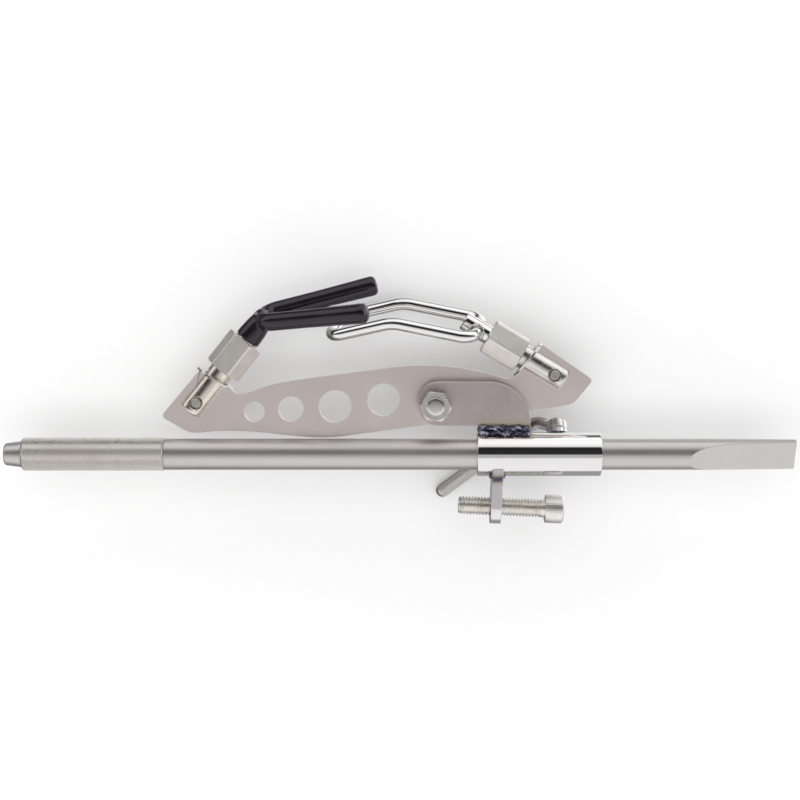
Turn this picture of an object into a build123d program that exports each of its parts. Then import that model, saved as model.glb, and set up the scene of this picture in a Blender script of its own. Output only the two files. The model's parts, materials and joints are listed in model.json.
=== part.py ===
from build123d import *
import math
import os

# Hand lever tool: a round pry bar with a sliding, clampable sleeve. The sleeve carries an arm plate,
# the arm plate carries a rocking beam, and each end of the beam carries a swivelling hook.
# Frame: origin at the centre of the bar's nose face, +X along the bar to the chisel tip,
# +Y from the bar towards the hooks, +Z square to the plates, towards the arm plate's nut. Millimetres.

# ---- Lever bar and grip ----
BAR_D = 15.875
BAR_LENGTH = 403.0
NOSE_LENGTH = 9.2
NOSE_TIP_D = 11.0
NOSE_BASE_D = 13.4
NOSE_EDGE_R = 1.4
GRIP_LENGTH = 72.5
GRIP_D = 17.0
GRIP_CHAMFER = 0.8
CHISEL_TIP_THICKNESS = 3.0
CHISEL_FLAT_LENGTH = 33.0
CHISEL_TAPER = 2.2
CHISEL_GRIND_R = 60.0
CHISEL_TURN = 24.0
CHISEL_GRIND_SWEEP = 32.0

# ---- Sliding sleeve ----
SLEEVE_X = 240.8
SLEEVE_LENGTH = 63.0
SLEEVE_D = 22.225
SLEEVE_CHAMFER = 0.3
SLIDE_CLEARANCE = 0.08

# ---- Arm plate and its weld ----
PLATE_THICKNESS = 4.76
PIVOT_X = 219.6
PIVOT_Y = 25.2
ARM_HEIGHT = 22.4
ARM_END_BEYOND_PIVOT = 9.5
ARM_RISE_ABOVE_PIVOT = 0.9
ARM_FOOT_LENGTH = 26.8
ARM_FOOT_INSET = 0.4
ARM_SHOULDER_R = 21.4
WELD_LEG = 3.4
WELD_ROOT = 0.8
WELD_OVER = 0.8
WELD_UNDER = 1.35
WELD_TOE_LIFT = 0.5

# ---- Pivot ----
BOLT_D = 9.525
BOLT_HEX_AF = 14.29
BOLT_HEAD_HEIGHT = 6.0
NUT_HEIGHT = 8.3
BOLT_STANDOUT = 2.0
SPACER_THICKNESS = 0.8
SPACER_D = 19.0
WASHER_THICKNESS = 1.1
PIVOT_WASHER_D = 20.0
HOLE_CLEARANCE = 0.08
DOME = 0.8
BOLT_HEAD_CLOCK = 12.0
PIVOT_NUT_CLOCK = -7.0

# ---- Beam plate ----
LEFT_PIN_X = 97.8
LEFT_PIN_Y = 26.15
RIGHT_PIN_X = 280.2
RIGHT_PIN_Y = 40.36
LEFT_EDGE_ANGLE = 56.8
RIGHT_EDGE_ANGLE = 139.5
PIN_TO_EDGE = 14.8
EDGE_OUTER = 7.8
EDGE_INNER = 13.6
BEAM_BELLY_GAP = 0.3
BEAM_UNDERSIDE_ANGLE = 7.9
BEAM_TOE = (-2.6, -16.2)
BEAM_HEEL = (-18.5, -7.1)
BEAM_NOSE = (20.1, -2.6)
BEAM_TAIL = 9.8
BEAM_NOTCH = [(3.0, -0.5), (12.0, 2.0)]
BEAM_TOP = [(146.9, 37.3), (183.2, 42.2), (214.6, 45.3), (238.0, 42.9)]
BEAM_NECK = [(-7.0, -0.6), (-2.2, -1.4)]
BEAM_BELLY = [(134.7, 10.5), (121.0, 11.6), (107.3, 11.5)]
BEAM_BELLY_START = 173.6
BEAM_BELLY_LOW = 161.7
BEAM_BELLY_STEP = 0.8
BEAM_TOE_SLOPE = 0.2
BEAM_HEEL_R = 2.0
BEAM_EDGE_R = 0.8
BEAM_NOSE_R = 2.0
BEAM_TAIL_R = 8.0
BEAM_TOE_R = 14.0
LIGHTENING_HOLES = [(127.2, 21.4, 10.5), (145.9, 22.8, 13.0), (168.5, 24.1, 16.7), (193.3, 27.55, 16.7)]

# ---- Slotted studs, cross pins, washers and coupling nuts ----
STUD_D = 12.7
STUD_BEYOND_PIN = 6.6
STUD_END_FILLET = 2.0
SLOT_CLEARANCE = 0.12
SLOT_END = 17.2
STUD_GRIP = 9.0
PIN_D = 4.9
PIN_PLAY = 1.7
PIN_STANDOUT = 0.2
PIN_CHAMFER = 0.4
EDGE_WASHER_D = 21.8
EDGE_WASHER_PLAY = 0.9
COUPLING_AF = 17.46
COUPLING_LENGTH = 19.6
HEX_CHAMFER_ANGLE = 30.0
THREAD_CLEARANCE = 0.05
LEFT_TILT = -5.4
RIGHT_TILT = 9.5
LEFT_NUT_START = 20.9
RIGHT_NUT_START = 19.3
LEFT_NUT_CLOCK = 23.0
RIGHT_NUT_CLOCK = -7.0

# ---- Fork hook ----
FORK_STEM_D = 11.0
FORK_STEM_END = 55.3
FORK_ROD_D = 7.94
VINYL_THICKNESS = 0.75
VINYL_START = 0.4
FORK_POINT_ANGLE = 10.2
FORK_SPREAD_ANGLE = 72.1
FORK_SPREAD_DIP = 66.7
FORK_HALF_ANGLE = 11.9
FORK_BASE_R = 7.5
FORK_REACH = 57.7

# ---- Loop hook ----
LOOP_STEM_D = 9.5
LOOP_STEM_END = 53.8
LOOP_ROD_D = 6.35
LOOP_WIDTH = 26.5
LOOP_SWIVEL = 25.0
LOOP_JOIN = 45.5
LOOP_FIRST_BEND = 21.8
LOOP_SECOND_BEND = 47.0
LOOP_FIRST_RUN = 42.0
LOOP_SECOND_RUN = 35.0
LOOP_CORNER_R = 7.0
LOOP_KNEE_R = 22.0
LOOP_WELD_HEIGHT = 1.1
LOOP_WELD_LIP = 0.2
LOOP_STEM_CHAMFER = 0.5

# ---- Stop tab and stop screw ----
TAB_X = 251.6
TAB_THICKNESS = 5.5
TAB_WIDTH = 18.0
TAB_LEAN = 2.4
SCREW_DROP = 26.6
SCREW_D = 9.525
SCREW_LENGTH = 44.0
SCREW_STANDOFF = 22.4
SCREW_HEAD_D = 14.6
SCREW_HEAD_HEIGHT = 9.4
SCREW_SOCKET_AF = 7.94
SCREW_SOCKET_DEPTH = 4.8
TAB_WELD_LEG = 2.0
TAB_WELD_SPAN = 0.8
TAB_WELD_CUT = 0.7
SCREW_POINT_CHAMFER = 0.9
SCREW_HEAD_CHAMFER = 0.7

# ---- Clamp screw and bent handle ----
CLAMP_X = 282.6
CLAMP_ANGLE = 45.0
BOSS_D = 11.0
BOSS_TOP = 14.0
BOSS_WELD_LEG = 1.5
BOSS_WELD_RISE = 0.9
HUB_D = 10.6
HUB_GAP = 0.4
HUB_HEIGHT = 6.0
HUB_FILLET = 0.8
CLAMP_THREAD_D = 6.35
TIP_GAP = 0.35
HANDLE_D = 6.3
HANDLE_GRIP_D = 7.2
HANDLE_GRIP_LENGTH = 40.0
HANDLE_KNEE = (272.4, 15.4, -17.5)
HANDLE_END = (221.5, -24.9, -34.5)
HANDLE_BEND_R = 8.0

bar_r = BAR_D / 2
sleeve_r = SLEEVE_D / 2
arm_back = -PLATE_THICKNESS / 2
beam_front = arm_back - SPACER_THICKNESS
beam_mid = beam_front - PLATE_THICKNESS / 2
beam_back = beam_front - PLATE_THICKNESS


def polar(angle, length=1.0):
    """Point in the XY plane at an angle in degrees from +X."""
    return Vector(math.cos(math.radians(angle)), math.sin(math.radians(angle)), 0) * length


def stand(origin, direction, x_dir=(0, 0, 1)):
    """Plane with its normal along a direction, to place pieces built along their own Z."""
    return Plane(origin=origin, x_dir=x_dir, z_dir=direction)


def rod(diameter, start, end):
    """Round bar along Z from start to end."""
    return Pos(0, 0, start) * Cylinder(diameter / 2, end - start, align=(Align.CENTER, Align.CENTER, Align.MIN))


def hex_bar(across_flats, start, end, clock=0.0):
    """Hexagonal bar along Z with both ends turned off to a chamfer."""
    corner_r = across_flats / math.sqrt(3)
    bar = Pos(0, 0, start) * extrude(RegularPolygon(corner_r, 6, rotation=clock), end - start)
    drop = (corner_r - across_flats / 2) * math.tan(math.radians(HEX_CHAMFER_ANGLE))
    lower = Pos(0, 0, start) * Cone(across_flats / 2, corner_r, drop, align=(Align.CENTER, Align.CENTER, Align.MIN))
    middle = rod(2 * corner_r, start + drop, end - drop)
    upper = Pos(0, 0, end - drop) * Cone(
        corner_r, across_flats / 2, drop, align=(Align.CENTER, Align.CENTER, Align.MIN)
    )
    return bar & (lower + middle + upper)


# ---- Lever bar ----
along_bar = stand((0, 0, 0), (1, 0, 0), (0, 1, 0))
grip_start = NOSE_LENGTH
grip_end = NOSE_LENGTH + GRIP_LENGTH


def chisel_cutter():
    """Everything outside one ground face: a tapered flat that sweeps up in a hollow-ground arc."""
    slope = math.tan(math.radians(CHISEL_TAPER))
    tip = (BAR_LENGTH, CHISEL_TIP_THICKNESS / 2)
    heel = (BAR_LENGTH - CHISEL_FLAT_LENGTH, tip[1] + CHISEL_FLAT_LENGTH * slope)
    flat = Line(tip, heel)
    hollow = JernArc(heel, (heel[0] - tip[0], heel[1] - tip[1]), CHISEL_GRIND_R, -CHISEL_GRIND_SWEEP)
    top = BAR_D
    back = Polyline(hollow @ 1, ((hollow @ 1).X, top), (BAR_LENGTH + 1, top), (BAR_LENGTH + 1, tip[1]), tip)
    face = make_face(flat + hollow + back)
    return extrude(face, BAR_D, both=True)


def lever_bar():
    """Turned nose, seat for the grip, plain shaft and a chisel tip ground on both sides."""
    nose = Cone(NOSE_TIP_D / 2, NOSE_BASE_D / 2, NOSE_LENGTH, align=(Align.CENTER, Align.CENTER, Align.MIN))
    nose = fillet(nose.edges().sort_by(Axis.Z)[0], NOSE_EDGE_R)
    seat = rod(NOSE_BASE_D, grip_start, grip_end)
    shaft = rod(BAR_D, grip_end, BAR_LENGTH)
    bar = along_bar * (nose + seat + shaft)
    cutter = chisel_cutter()
    face_up = Rot(CHISEL_TURN, 0, 0) * (Rot(90, 0, 0) * cutter)
    face_down = Rot(180 + CHISEL_TURN, 0, 0) * (Rot(90, 0, 0) * cutter)
    return bar - face_up - face_down


def knurled_grip():
    """Knurled tube pressed on the turned seat, flush with the foot of the nose."""
    tube = rod(GRIP_D, grip_start, grip_end)
    tube = chamfer(tube.edges(), GRIP_CHAMFER)
    return along_bar * (tube - rod(NOSE_BASE_D, grip_start, grip_end))


# ---- Sleeve, arm plate and their weld ----
bar_hole_d = BAR_D + 2 * SLIDE_CLEARANCE
arm_mid_y = PIVOT_Y + ARM_RISE_ABOVE_PIVOT
arm_low_y = arm_mid_y - ARM_HEIGHT / 2
arm_high_y = arm_mid_y + ARM_HEIGHT / 2
arm_left_x = PIVOT_X - ARM_END_BEYOND_PIVOT
foot_end_x = SLEEVE_X + ARM_FOOT_INSET + ARM_FOOT_LENGTH
clamp_axis = Vector(0, math.cos(math.radians(CLAMP_ANGLE)), -math.sin(math.radians(CLAMP_ANGLE)))
clamp_base = stand((CLAMP_X, 0, 0), clamp_axis, (1, 0, 0))
clamp_bore_d = CLAMP_THREAD_D + 2 * THREAD_CLEARANCE


def slide_sleeve():
    """Thick tube that slides on the bar, drilled for the clamp screw."""
    tube = rod(SLEEVE_D, SLEEVE_X, SLEEVE_X + SLEEVE_LENGTH)
    tube = chamfer(tube.edges(), SLEEVE_CHAMFER)
    tube = along_bar * (tube - rod(bar_hole_d, SLEEVE_X - 1, SLEEVE_X + SLEEVE_LENGTH + 1))
    return tube - clamp_base * rod(clamp_bore_d, 0, sleeve_r + 2)


def sleeve_outside():
    """The sleeve's outer cylinder, longer than the sleeve, to cope what is welded on it."""
    return along_bar * rod(SLEEVE_D, SLEEVE_X - 20, SLEEVE_X + SLEEVE_LENGTH + 20)


def arm_plate():
    """Plate with a round end about the pivot, a long shoulder curve and a foot coped to the sleeve."""
    end_r = ARM_HEIGHT / 2
    shoulder_x = foot_end_x - ARM_SHOULDER_R
    foot_x = foot_end_x - ARM_FOOT_LENGTH
    round_end_x = arm_left_x + end_r
    outline = ThreePointArc(
        (round_end_x, arm_high_y), (arm_left_x, arm_mid_y), (round_end_x, arm_low_y)
    )
    outline += Polyline((round_end_x, arm_low_y), (foot_x, arm_low_y), (foot_x, 0), (foot_end_x, 0))
    outline += Line((foot_end_x, 0), (foot_end_x, arm_high_y - ARM_SHOULDER_R))
    outline += RadiusArc(
        (foot_end_x, arm_high_y - ARM_SHOULDER_R), (shoulder_x, arm_high_y), -ARM_SHOULDER_R
    )
    outline += Line((shoulder_x, arm_high_y), (round_end_x, arm_high_y))
    plate = extrude(make_face(outline), PLATE_THICKNESS / 2, both=True)
    hole = Pos(PIVOT_X, PIVOT_Y, 0) * Cylinder(BOLT_D / 2 + HOLE_CLEARANCE, 4 * PLATE_THICKNESS)
    return plate - hole - sleeve_outside()


def arm_weld():
    """Fillet welds along both faces of the foot."""
    root = sleeve_r * WELD_ROOT
    over = WELD_LEG * WELD_OVER
    under = WELD_LEG * WELD_UNDER
    beads = []
    for side in (1, -1):
        near = side * PLATE_THICKNESS / 2
        section = Plane.YZ * make_face(Polyline(
            (root, near), (sleeve_r + WELD_LEG, near), (sleeve_r + WELD_TOE_LIFT, near + side * over),
            (root, near + side * under), (root, near)
        ))
        beads.append(Pos(foot_end_x - ARM_FOOT_LENGTH, 0, 0) * extrude(section, ARM_FOOT_LENGTH))
    return [bead - sleeve_outside() for bead in beads]


# ---- Pivot bolt, nut, spacer and washer ----
pivot_head_top = beam_back - WASHER_THICKNESS


def pivot_bolt():
    """Hex-head bolt from the back, with a rounded point past the nut."""
    shank_top = PLATE_THICKNESS / 2 + NUT_HEIGHT + BOLT_STANDOUT
    shank = rod(BOLT_D, pivot_head_top, shank_top)
    shank = chamfer(shank.edges().sort_by(Axis.Z)[-1], DOME)
    head = hex_bar(BOLT_HEX_AF, pivot_head_top - BOLT_HEAD_HEIGHT, pivot_head_top, BOLT_HEAD_CLOCK)
    return Pos(PIVOT_X, PIVOT_Y, 0) * (shank + head)


def pivot_nut():
    """Full hex nut against the front of the arm plate."""
    low = PLATE_THICKNESS / 2
    nut = hex_bar(BOLT_HEX_AF, low, low + NUT_HEIGHT, PIVOT_NUT_CLOCK) - rod(BOLT_D, 0, 3 * NUT_HEIGHT)
    return Pos(PIVOT_X, PIVOT_Y, 0) * nut


def ring(outer_d, low, thickness, hole_d):
    """Flat round washer about Z."""
    return rod(outer_d, low, low + thickness) - rod(hole_d, low - 1, low + thickness + 1)


def pivot_spacer():
    """Thin bearing washer between arm and beam."""
    return Pos(PIVOT_X, PIVOT_Y, 0) * ring(SPACER_D, beam_front, SPACER_THICKNESS, BOLT_D)


def pivot_washer():
    """Washer between the beam and the bolt's head."""
    return Pos(PIVOT_X, PIVOT_Y, 0) * ring(PIVOT_WASHER_D, pivot_head_top, WASHER_THICKNESS, BOLT_D)


# ---- Beam plate ----
left_pin = Vector(LEFT_PIN_X, LEFT_PIN_Y, beam_mid)
right_pin = Vector(RIGHT_PIN_X, RIGHT_PIN_Y, beam_mid)
left_normal = polar(LEFT_EDGE_ANGLE)
right_normal = polar(RIGHT_EDGE_ANGLE)
left_axis = polar(LEFT_EDGE_ANGLE + LEFT_TILT)
right_axis = polar(RIGHT_EDGE_ANGLE + RIGHT_TILT)


def edge_point(pin, edge_angle, offset):
    """Point on a beam end's straight edge, offset to the right of its outward normal."""
    point = Vector(pin.X, pin.Y, 0) + polar(edge_angle, PIN_TO_EDGE) + polar(edge_angle - 90, offset)
    return (point.X, point.Y)


def beam_plate():
    """Rocking beam: two angled ends, an arched top, a belly that clears the bar, four round holes."""
    belly_y = bar_r + BEAM_BELLY_GAP
    slope = math.tan(math.radians(BEAM_UNDERSIDE_ANGLE))
    toe = (LEFT_PIN_X + BEAM_TOE[0], LEFT_PIN_Y + BEAM_TOE[1])
    heel = (LEFT_PIN_X + BEAM_HEEL[0], LEFT_PIN_Y + BEAM_HEEL[1])
    nose = (RIGHT_PIN_X + BEAM_NOSE[0], RIGHT_PIN_Y + BEAM_NOSE[1])
    tail_x = RIGHT_PIN_X + BEAM_TAIL
    belly_end = (BEAM_BELLY_START, belly_y + BEAM_BELLY_STEP)
    tail = (tail_x, belly_end[1] + (tail_x - belly_end[0]) * slope)
    left_outer = edge_point(left_pin, LEFT_EDGE_ANGLE, -EDGE_OUTER)
    left_inner = edge_point(left_pin, LEFT_EDGE_ANGLE, EDGE_INNER)
    right_inner = edge_point(right_pin, RIGHT_EDGE_ANGLE, -EDGE_INNER)
    right_outer = edge_point(right_pin, RIGHT_EDGE_ANGLE, EDGE_OUTER)
    notch = [(left_inner[0] + x, left_inner[1] + y) for x, y in BEAM_NOTCH]
    neck = [(right_inner[0] + x, right_inner[1] + y) for x, y in BEAM_NECK]
    top = Spline(left_inner, *notch, *BEAM_TOP, *neck, right_inner)
    low = (BEAM_BELLY_LOW, belly_y)
    belly = Spline(belly_end, low, *BEAM_BELLY, toe, tangents=[(-1, -slope), (-1, -BEAM_TOE_SLOPE)])
    outline = Polyline(toe, heel, left_outer, left_inner) + top
    outline += Polyline(right_inner, right_outer, nose, tail, belly_end) + belly
    plate = Pos(0, 0, beam_back) * extrude(make_face(outline), PLATE_THICKNESS)
    rounds = [
        (heel, BEAM_HEEL_R), (left_outer, BEAM_EDGE_R), (right_outer, BEAM_EDGE_R),
        (nose, BEAM_NOSE_R), (tail, BEAM_TAIL_R), (toe, BEAM_TOE_R)
    ]
    for corner, radius in rounds:
        upright = plate.edges().filter_by(Axis.Z).sort_by_distance((corner[0], corner[1], beam_mid))[0]
        plate = fillet(upright, radius)
    for x, y, diameter in LIGHTENING_HOLES:
        plate -= Pos(x, y, beam_mid) * Cylinder(diameter / 2, 2 * PLATE_THICKNESS)
    plate -= Pos(PIVOT_X, PIVOT_Y, beam_mid) * Cylinder(BOLT_D / 2 + HOLE_CLEARANCE, 2 * PLATE_THICKNESS)
    for pin in (left_pin, right_pin):
        plate -= Pos(pin.X, pin.Y, beam_mid) * Cylinder(PIN_D / 2, 2 * PLATE_THICKNESS)
    return plate


# ---- Studs, pins, washers and coupling nuts, alike at both ends ----
def cross_pin(pin):
    """Pin pressed through the beam, its ends in the stud's wider holes."""
    half = STUD_D / 2 + PIN_STANDOUT
    body = chamfer(rod(PIN_D, -half, half).edges(), PIN_CHAMFER)
    return Pos(pin.X, pin.Y, pin.Z) * body


def slotted_stud(pin, axis, nut_start):
    """Round stud slotted to straddle the beam, cross-drilled, its top end held in the nut."""
    body = rod(STUD_D, -STUD_BEYOND_PIN, nut_start + STUD_GRIP)
    body = fillet(body.edges().sort_by(Axis.Z)[0], STUD_END_FILLET)
    slot_width = PLATE_THICKNESS + 2 * SLOT_CLEARANCE
    slot = Pos(0, 0, -STUD_D) * Box(
        slot_width, 2 * STUD_D, STUD_D + SLOT_END, align=(Align.CENTER, Align.CENTER, Align.MIN)
    )
    cross_hole = Rot(0, 90, 0) * Cylinder((PIN_D + PIN_PLAY) / 2, 2 * STUD_D)
    return stand(pin, axis) * (body - slot - cross_hole)


def edge_washer(pin, edge_angle, tilt):
    """Loose washer that lies on the beam's end edge, round the leaning stud."""
    middle = PIN_TO_EDGE + WASHER_THICKNESS / 2
    shift = middle * math.tan(math.radians(tilt))
    centre = pin + polar(edge_angle, PIN_TO_EDGE) + polar(edge_angle + 90, shift)
    body = ring(EDGE_WASHER_D, 0, WASHER_THICKNESS, STUD_D + EDGE_WASHER_PLAY)
    return stand(centre, polar(edge_angle)) * body


def coupling_nut(pin, axis, nut_start, clock):
    """Long hex nut that joins a stud to a hook's stem."""
    body = hex_bar(COUPLING_AF, nut_start, nut_start + COUPLING_LENGTH, clock)
    return stand(pin, axis) * (body - rod(STUD_D + 2 * THREAD_CLEARANCE, 0, 2 * (nut_start + COUPLING_LENGTH)))


# ---- Fork hook ----
left_nut_end = LEFT_NUT_START + COUPLING_LENGTH
right_nut_end = RIGHT_NUT_START + COUPLING_LENGTH


def turned(vector, axis, angle):
    """Vector turned about an axis through the origin."""
    return vector.rotate(Axis((0, 0, 0), axis), angle)


fork_dip = math.radians(FORK_SPREAD_DIP)
fork_side = polar(FORK_SPREAD_ANGLE, math.cos(fork_dip)) - Vector(0, 0, math.sin(fork_dip))
fork_rise = polar(FORK_POINT_ANGLE).dot(fork_side) / math.sin(fork_dip)
fork_dir = (polar(FORK_POINT_ANGLE) + Vector(0, 0, fork_rise)).normalized()
fork_base = left_pin + left_axis * FORK_STEM_END


def fork_stem():
    """Threaded stem with a plain upper part that the prongs are welded to."""
    low = left_nut_end - STUD_GRIP
    body = rod(STUD_D, low, left_nut_end) + rod(FORK_STEM_D, left_nut_end, FORK_STEM_END)
    return stand(left_pin, left_axis) * body


def fork_path(trim=0.0):
    """Centre line of the V-shaped fork: two straight prongs joined by a round base."""
    half = math.radians(FORK_HALF_ANGLE)
    apex = FORK_BASE_R - FORK_BASE_R / math.sin(half)
    half_spread = (FORK_REACH - trim - apex) * math.tan(half)
    flat = Plane(origin=fork_base, x_dir=fork_dir, z_dir=fork_dir.cross(fork_side))
    line = FilletPolyline(
        (FORK_REACH - trim, -half_spread), (apex, 0), (FORK_REACH - trim, half_spread), radius=FORK_BASE_R
    )
    return flat * line


def swept_rod(path, diameter):
    """Round rod along a path, square at its ends."""
    start = Plane(origin=path @ 0, z_dir=path % 0)
    return sweep(start * Circle(diameter / 2), path=path)


def fork_prongs():
    """Bent rod of the fork, welded to the stem."""
    return swept_rod(fork_path(FORK_ROD_D / 2 + VINYL_THICKNESS), FORK_ROD_D) - fork_stem()


def vinyl_coat():
    """Dipped vinyl skin over the stem's plain part and both prongs, closed round at the tips."""
    coat_d = FORK_ROD_D + 2 * VINYL_THICKNESS
    path = fork_path(coat_d / 2)
    skin = swept_rod(path, coat_d)
    for end in (path @ 0, path @ 1):
        skin += Pos(end.X, end.Y, end.Z) * Sphere(coat_d / 2)
    collar = rod(FORK_STEM_D + 2 * VINYL_THICKNESS, left_nut_end + VINYL_START, FORK_STEM_END + VINYL_THICKNESS)
    skin += stand(left_pin, left_axis) * collar
    return skin - fork_stem() - fork_prongs()


# ---- Loop hook ----
loop_side = turned(Vector(0, 0, -1), right_axis, -LOOP_SWIVEL)
loop_bend_dir = turned(polar(RIGHT_EDGE_ANGLE + RIGHT_TILT + 90), right_axis, -LOOP_SWIVEL)
loop_root = right_pin + right_axis * LOOP_JOIN


def loop_stem():
    """Threaded stem with a plain, flat-ended upper part."""
    low = right_nut_end - STUD_GRIP
    body = rod(STUD_D, low, right_nut_end) + rod(LOOP_STEM_D, right_nut_end, LOOP_STEM_END)
    body = chamfer(body.edges().sort_by(Axis.Z)[-1], LOOP_STEM_CHAMFER)
    return stand(right_pin, right_axis) * body


def loop_run(angle, length):
    """Step along the loop's legs, bent away from the stem's line."""
    turn = math.radians(angle)
    return (right_axis * math.cos(turn) + loop_bend_dir * math.sin(turn)) * length


def loop_rod():
    """One bent rod: two kneed legs, a square-cornered closed end, both ends butted on the stem."""
    half = loop_side * (LOOP_WIDTH / 2)
    knee = loop_root + loop_run(LOOP_FIRST_BEND, LOOP_FIRST_RUN)
    tip = knee + loop_run(LOOP_SECOND_BEND, LOOP_SECOND_RUN)
    points = [
        loop_root, loop_root - half, knee - half, tip - half, tip + half, knee + half, loop_root + half, loop_root
    ]
    halves = []
    for side in (points[:4] + [tip], points[:3:-1] + [tip]):
        path = FilletPolyline(*side, radius=[LOOP_CORNER_R, LOOP_KNEE_R, LOOP_CORNER_R])
        halves.append(swept_rod(path, LOOP_ROD_D))
    return halves[0] + halves[1] - loop_stem()


def loop_weld():
    """Ring welds where the legs butt on the stem."""
    welds = []
    for side in (-1, 1):
        way = loop_side * side
        collar = Cone(
            LOOP_ROD_D / 2 + LOOP_WELD_HEIGHT, LOOP_ROD_D / 2 + LOOP_WELD_LIP, LOOP_STEM_D / 2 + LOOP_WELD_HEIGHT,
            align=(Align.CENTER, Align.CENTER, Align.MIN)
        )
        welds.append(stand(loop_root, way, right_axis) * collar - loop_stem() - loop_rod())
    return welds


# ---- Stop tab and screw ----
tab_frame = Pos(TAB_X, 0, 0) * Rot(0, 0, -TAB_LEAN)


def stop_tab():
    """Flat lug under the sleeve with a round end about the screw."""
    shape = Pos(0, -SCREW_DROP / 2, 0) * Box(TAB_THICKNESS, SCREW_DROP, TAB_WIDTH)
    shape += Pos(0, -SCREW_DROP, 0) * Rot(0, 90, 0) * Cylinder(TAB_WIDTH / 2, TAB_THICKNESS)
    hole = Pos(0, -SCREW_DROP, 0) * Rot(0, 90, 0) * Cylinder(SCREW_D / 2 + THREAD_CLEARANCE, 2 * TAB_WIDTH)
    return tab_frame * (shape - hole) - sleeve_outside()


def tab_weld():
    """Weld bead round the lug's root."""
    wide = TAB_THICKNESS + 2 * TAB_WELD_LEG
    bead = Pos(0, -sleeve_r / 2 - TAB_WELD_LEG / 2, 0) * Box(wide, sleeve_r + TAB_WELD_LEG, TAB_WIDTH * TAB_WELD_SPAN)
    bead = chamfer(bead.edges().filter_by(Axis.Z).group_by(Axis.Y)[0], TAB_WELD_LEG * TAB_WELD_CUT)
    return tab_frame * bead - sleeve_outside() - stop_tab()


def stop_screw():
    """Socket head cap screw through the lug, head on the chisel side."""
    under_head = TAB_THICKNESS / 2 + SCREW_STANDOFF
    shank = rod(SCREW_D, under_head - SCREW_LENGTH, under_head)
    shank = chamfer(shank.edges().sort_by(Axis.Z)[0], SCREW_POINT_CHAMFER)
    head = rod(SCREW_HEAD_D, under_head, under_head + SCREW_HEAD_HEIGHT)
    head = chamfer(head.edges().sort_by(Axis.Z)[-1], SCREW_HEAD_CHAMFER)
    socket_floor = under_head + SCREW_HEAD_HEIGHT - SCREW_SOCKET_DEPTH
    socket = Pos(0, 0, socket_floor) * extrude(
        RegularPolygon(SCREW_SOCKET_AF / math.sqrt(3), 6), SCREW_SOCKET_DEPTH + 1
    )
    screw = shank + head - socket
    return tab_frame * Pos(0, -SCREW_DROP, 0) * Rot(0, 90, 0) * screw


# ---- Clamp boss, screw and handle ----
hub_low = BOSS_TOP + HUB_GAP


def clamp_boss():
    """Round threaded boss welded on the back of the sleeve."""
    body = clamp_base * (rod(BOSS_D, 0, BOSS_TOP) - rod(clamp_bore_d, 0, 2 * BOSS_TOP))
    return body - sleeve_outside()


def boss_weld():
    """Ring weld round the boss."""
    body = clamp_base * (rod(BOSS_D + 2 * BOSS_WELD_LEG, 0, sleeve_r + BOSS_WELD_RISE) - rod(BOSS_D, 0, 2 * BOSS_TOP))
    return body - sleeve_outside()


def clamp_screw():
    """Screw that locks the sleeve on the bar, with a round hub for the handle."""
    thread = rod(CLAMP_THREAD_D, bar_r + TIP_GAP, hub_low)
    hub = rod(HUB_D, hub_low, hub_low + HUB_HEIGHT)
    hub = fillet(hub.edges(), HUB_FILLET)
    return clamp_base * (thread + hub)


def clamp_handle():
    """Bent rod welded in the side of the hub, with a thicker knurled grip and a round end."""
    root = Vector(CLAMP_X, 0, 0) + clamp_axis * (hub_low + HUB_HEIGHT / 2)
    knee = Vector(*HANDLE_KNEE)
    end = Vector(*HANDLE_END)
    path = FilletPolyline(root, knee, end, radius=HANDLE_BEND_R)
    back = (knee - end).normalized()
    tip_r = HANDLE_GRIP_D / 2
    grip = stand(end, back, (0, 0, 1)) * rod(HANDLE_GRIP_D, tip_r, HANDLE_GRIP_LENGTH)
    middle = end + back * tip_r
    grip += Pos(middle.X, middle.Y, middle.Z) * Sphere(tip_r)
    bent = swept_rod(path, HANDLE_D) - stand(end, back, (0, 0, 1)) * rod(3 * HANDLE_D, -1, 2 * tip_r)
    return bent + grip - clamp_screw()


# ---- One STEP file for each piece ----
pieces = {
    "lever_bar": lever_bar(),
    "knurled_grip": knurled_grip(),
    "slide_sleeve": slide_sleeve(),
    "arm_plate": arm_plate(),
    "arm_weld": Compound(arm_weld()),
    "pivot_bolt": pivot_bolt(),
    "pivot_nut": pivot_nut(),
    "pivot_spacer": pivot_spacer(),
    "pivot_washer": pivot_washer(),
    "beam_plate": beam_plate(),
    "left_cross_pin": cross_pin(left_pin),
    "right_cross_pin": cross_pin(right_pin),
    "left_slotted_stud": slotted_stud(left_pin, left_axis, LEFT_NUT_START),
    "right_slotted_stud": slotted_stud(right_pin, right_axis, RIGHT_NUT_START),
    "left_edge_washer": edge_washer(left_pin, LEFT_EDGE_ANGLE, LEFT_TILT),
    "right_edge_washer": edge_washer(right_pin, RIGHT_EDGE_ANGLE, RIGHT_TILT),
    "left_coupling_nut": coupling_nut(left_pin, left_axis, LEFT_NUT_START, LEFT_NUT_CLOCK),
    "right_coupling_nut": coupling_nut(right_pin, right_axis, RIGHT_NUT_START, RIGHT_NUT_CLOCK),
    "fork_stem": fork_stem(),
    "fork_prongs": fork_prongs(),
    "vinyl_coat": vinyl_coat(),
    "loop_stem": loop_stem(),
    "loop_rod": loop_rod(),
    "loop_weld": Compound(loop_weld()),
    "stop_tab": stop_tab(),
    "tab_weld": tab_weld(),
    "stop_screw": stop_screw(),
    "clamp_boss": clamp_boss(),
    "boss_weld": boss_weld(),
    "clamp_screw": clamp_screw(),
    "clamp_handle": clamp_handle(),
}

os.makedirs("parts", exist_ok=True)
for name, shape in pieces.items():
    export_step(shape, f"parts/{name}.step")
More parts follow.
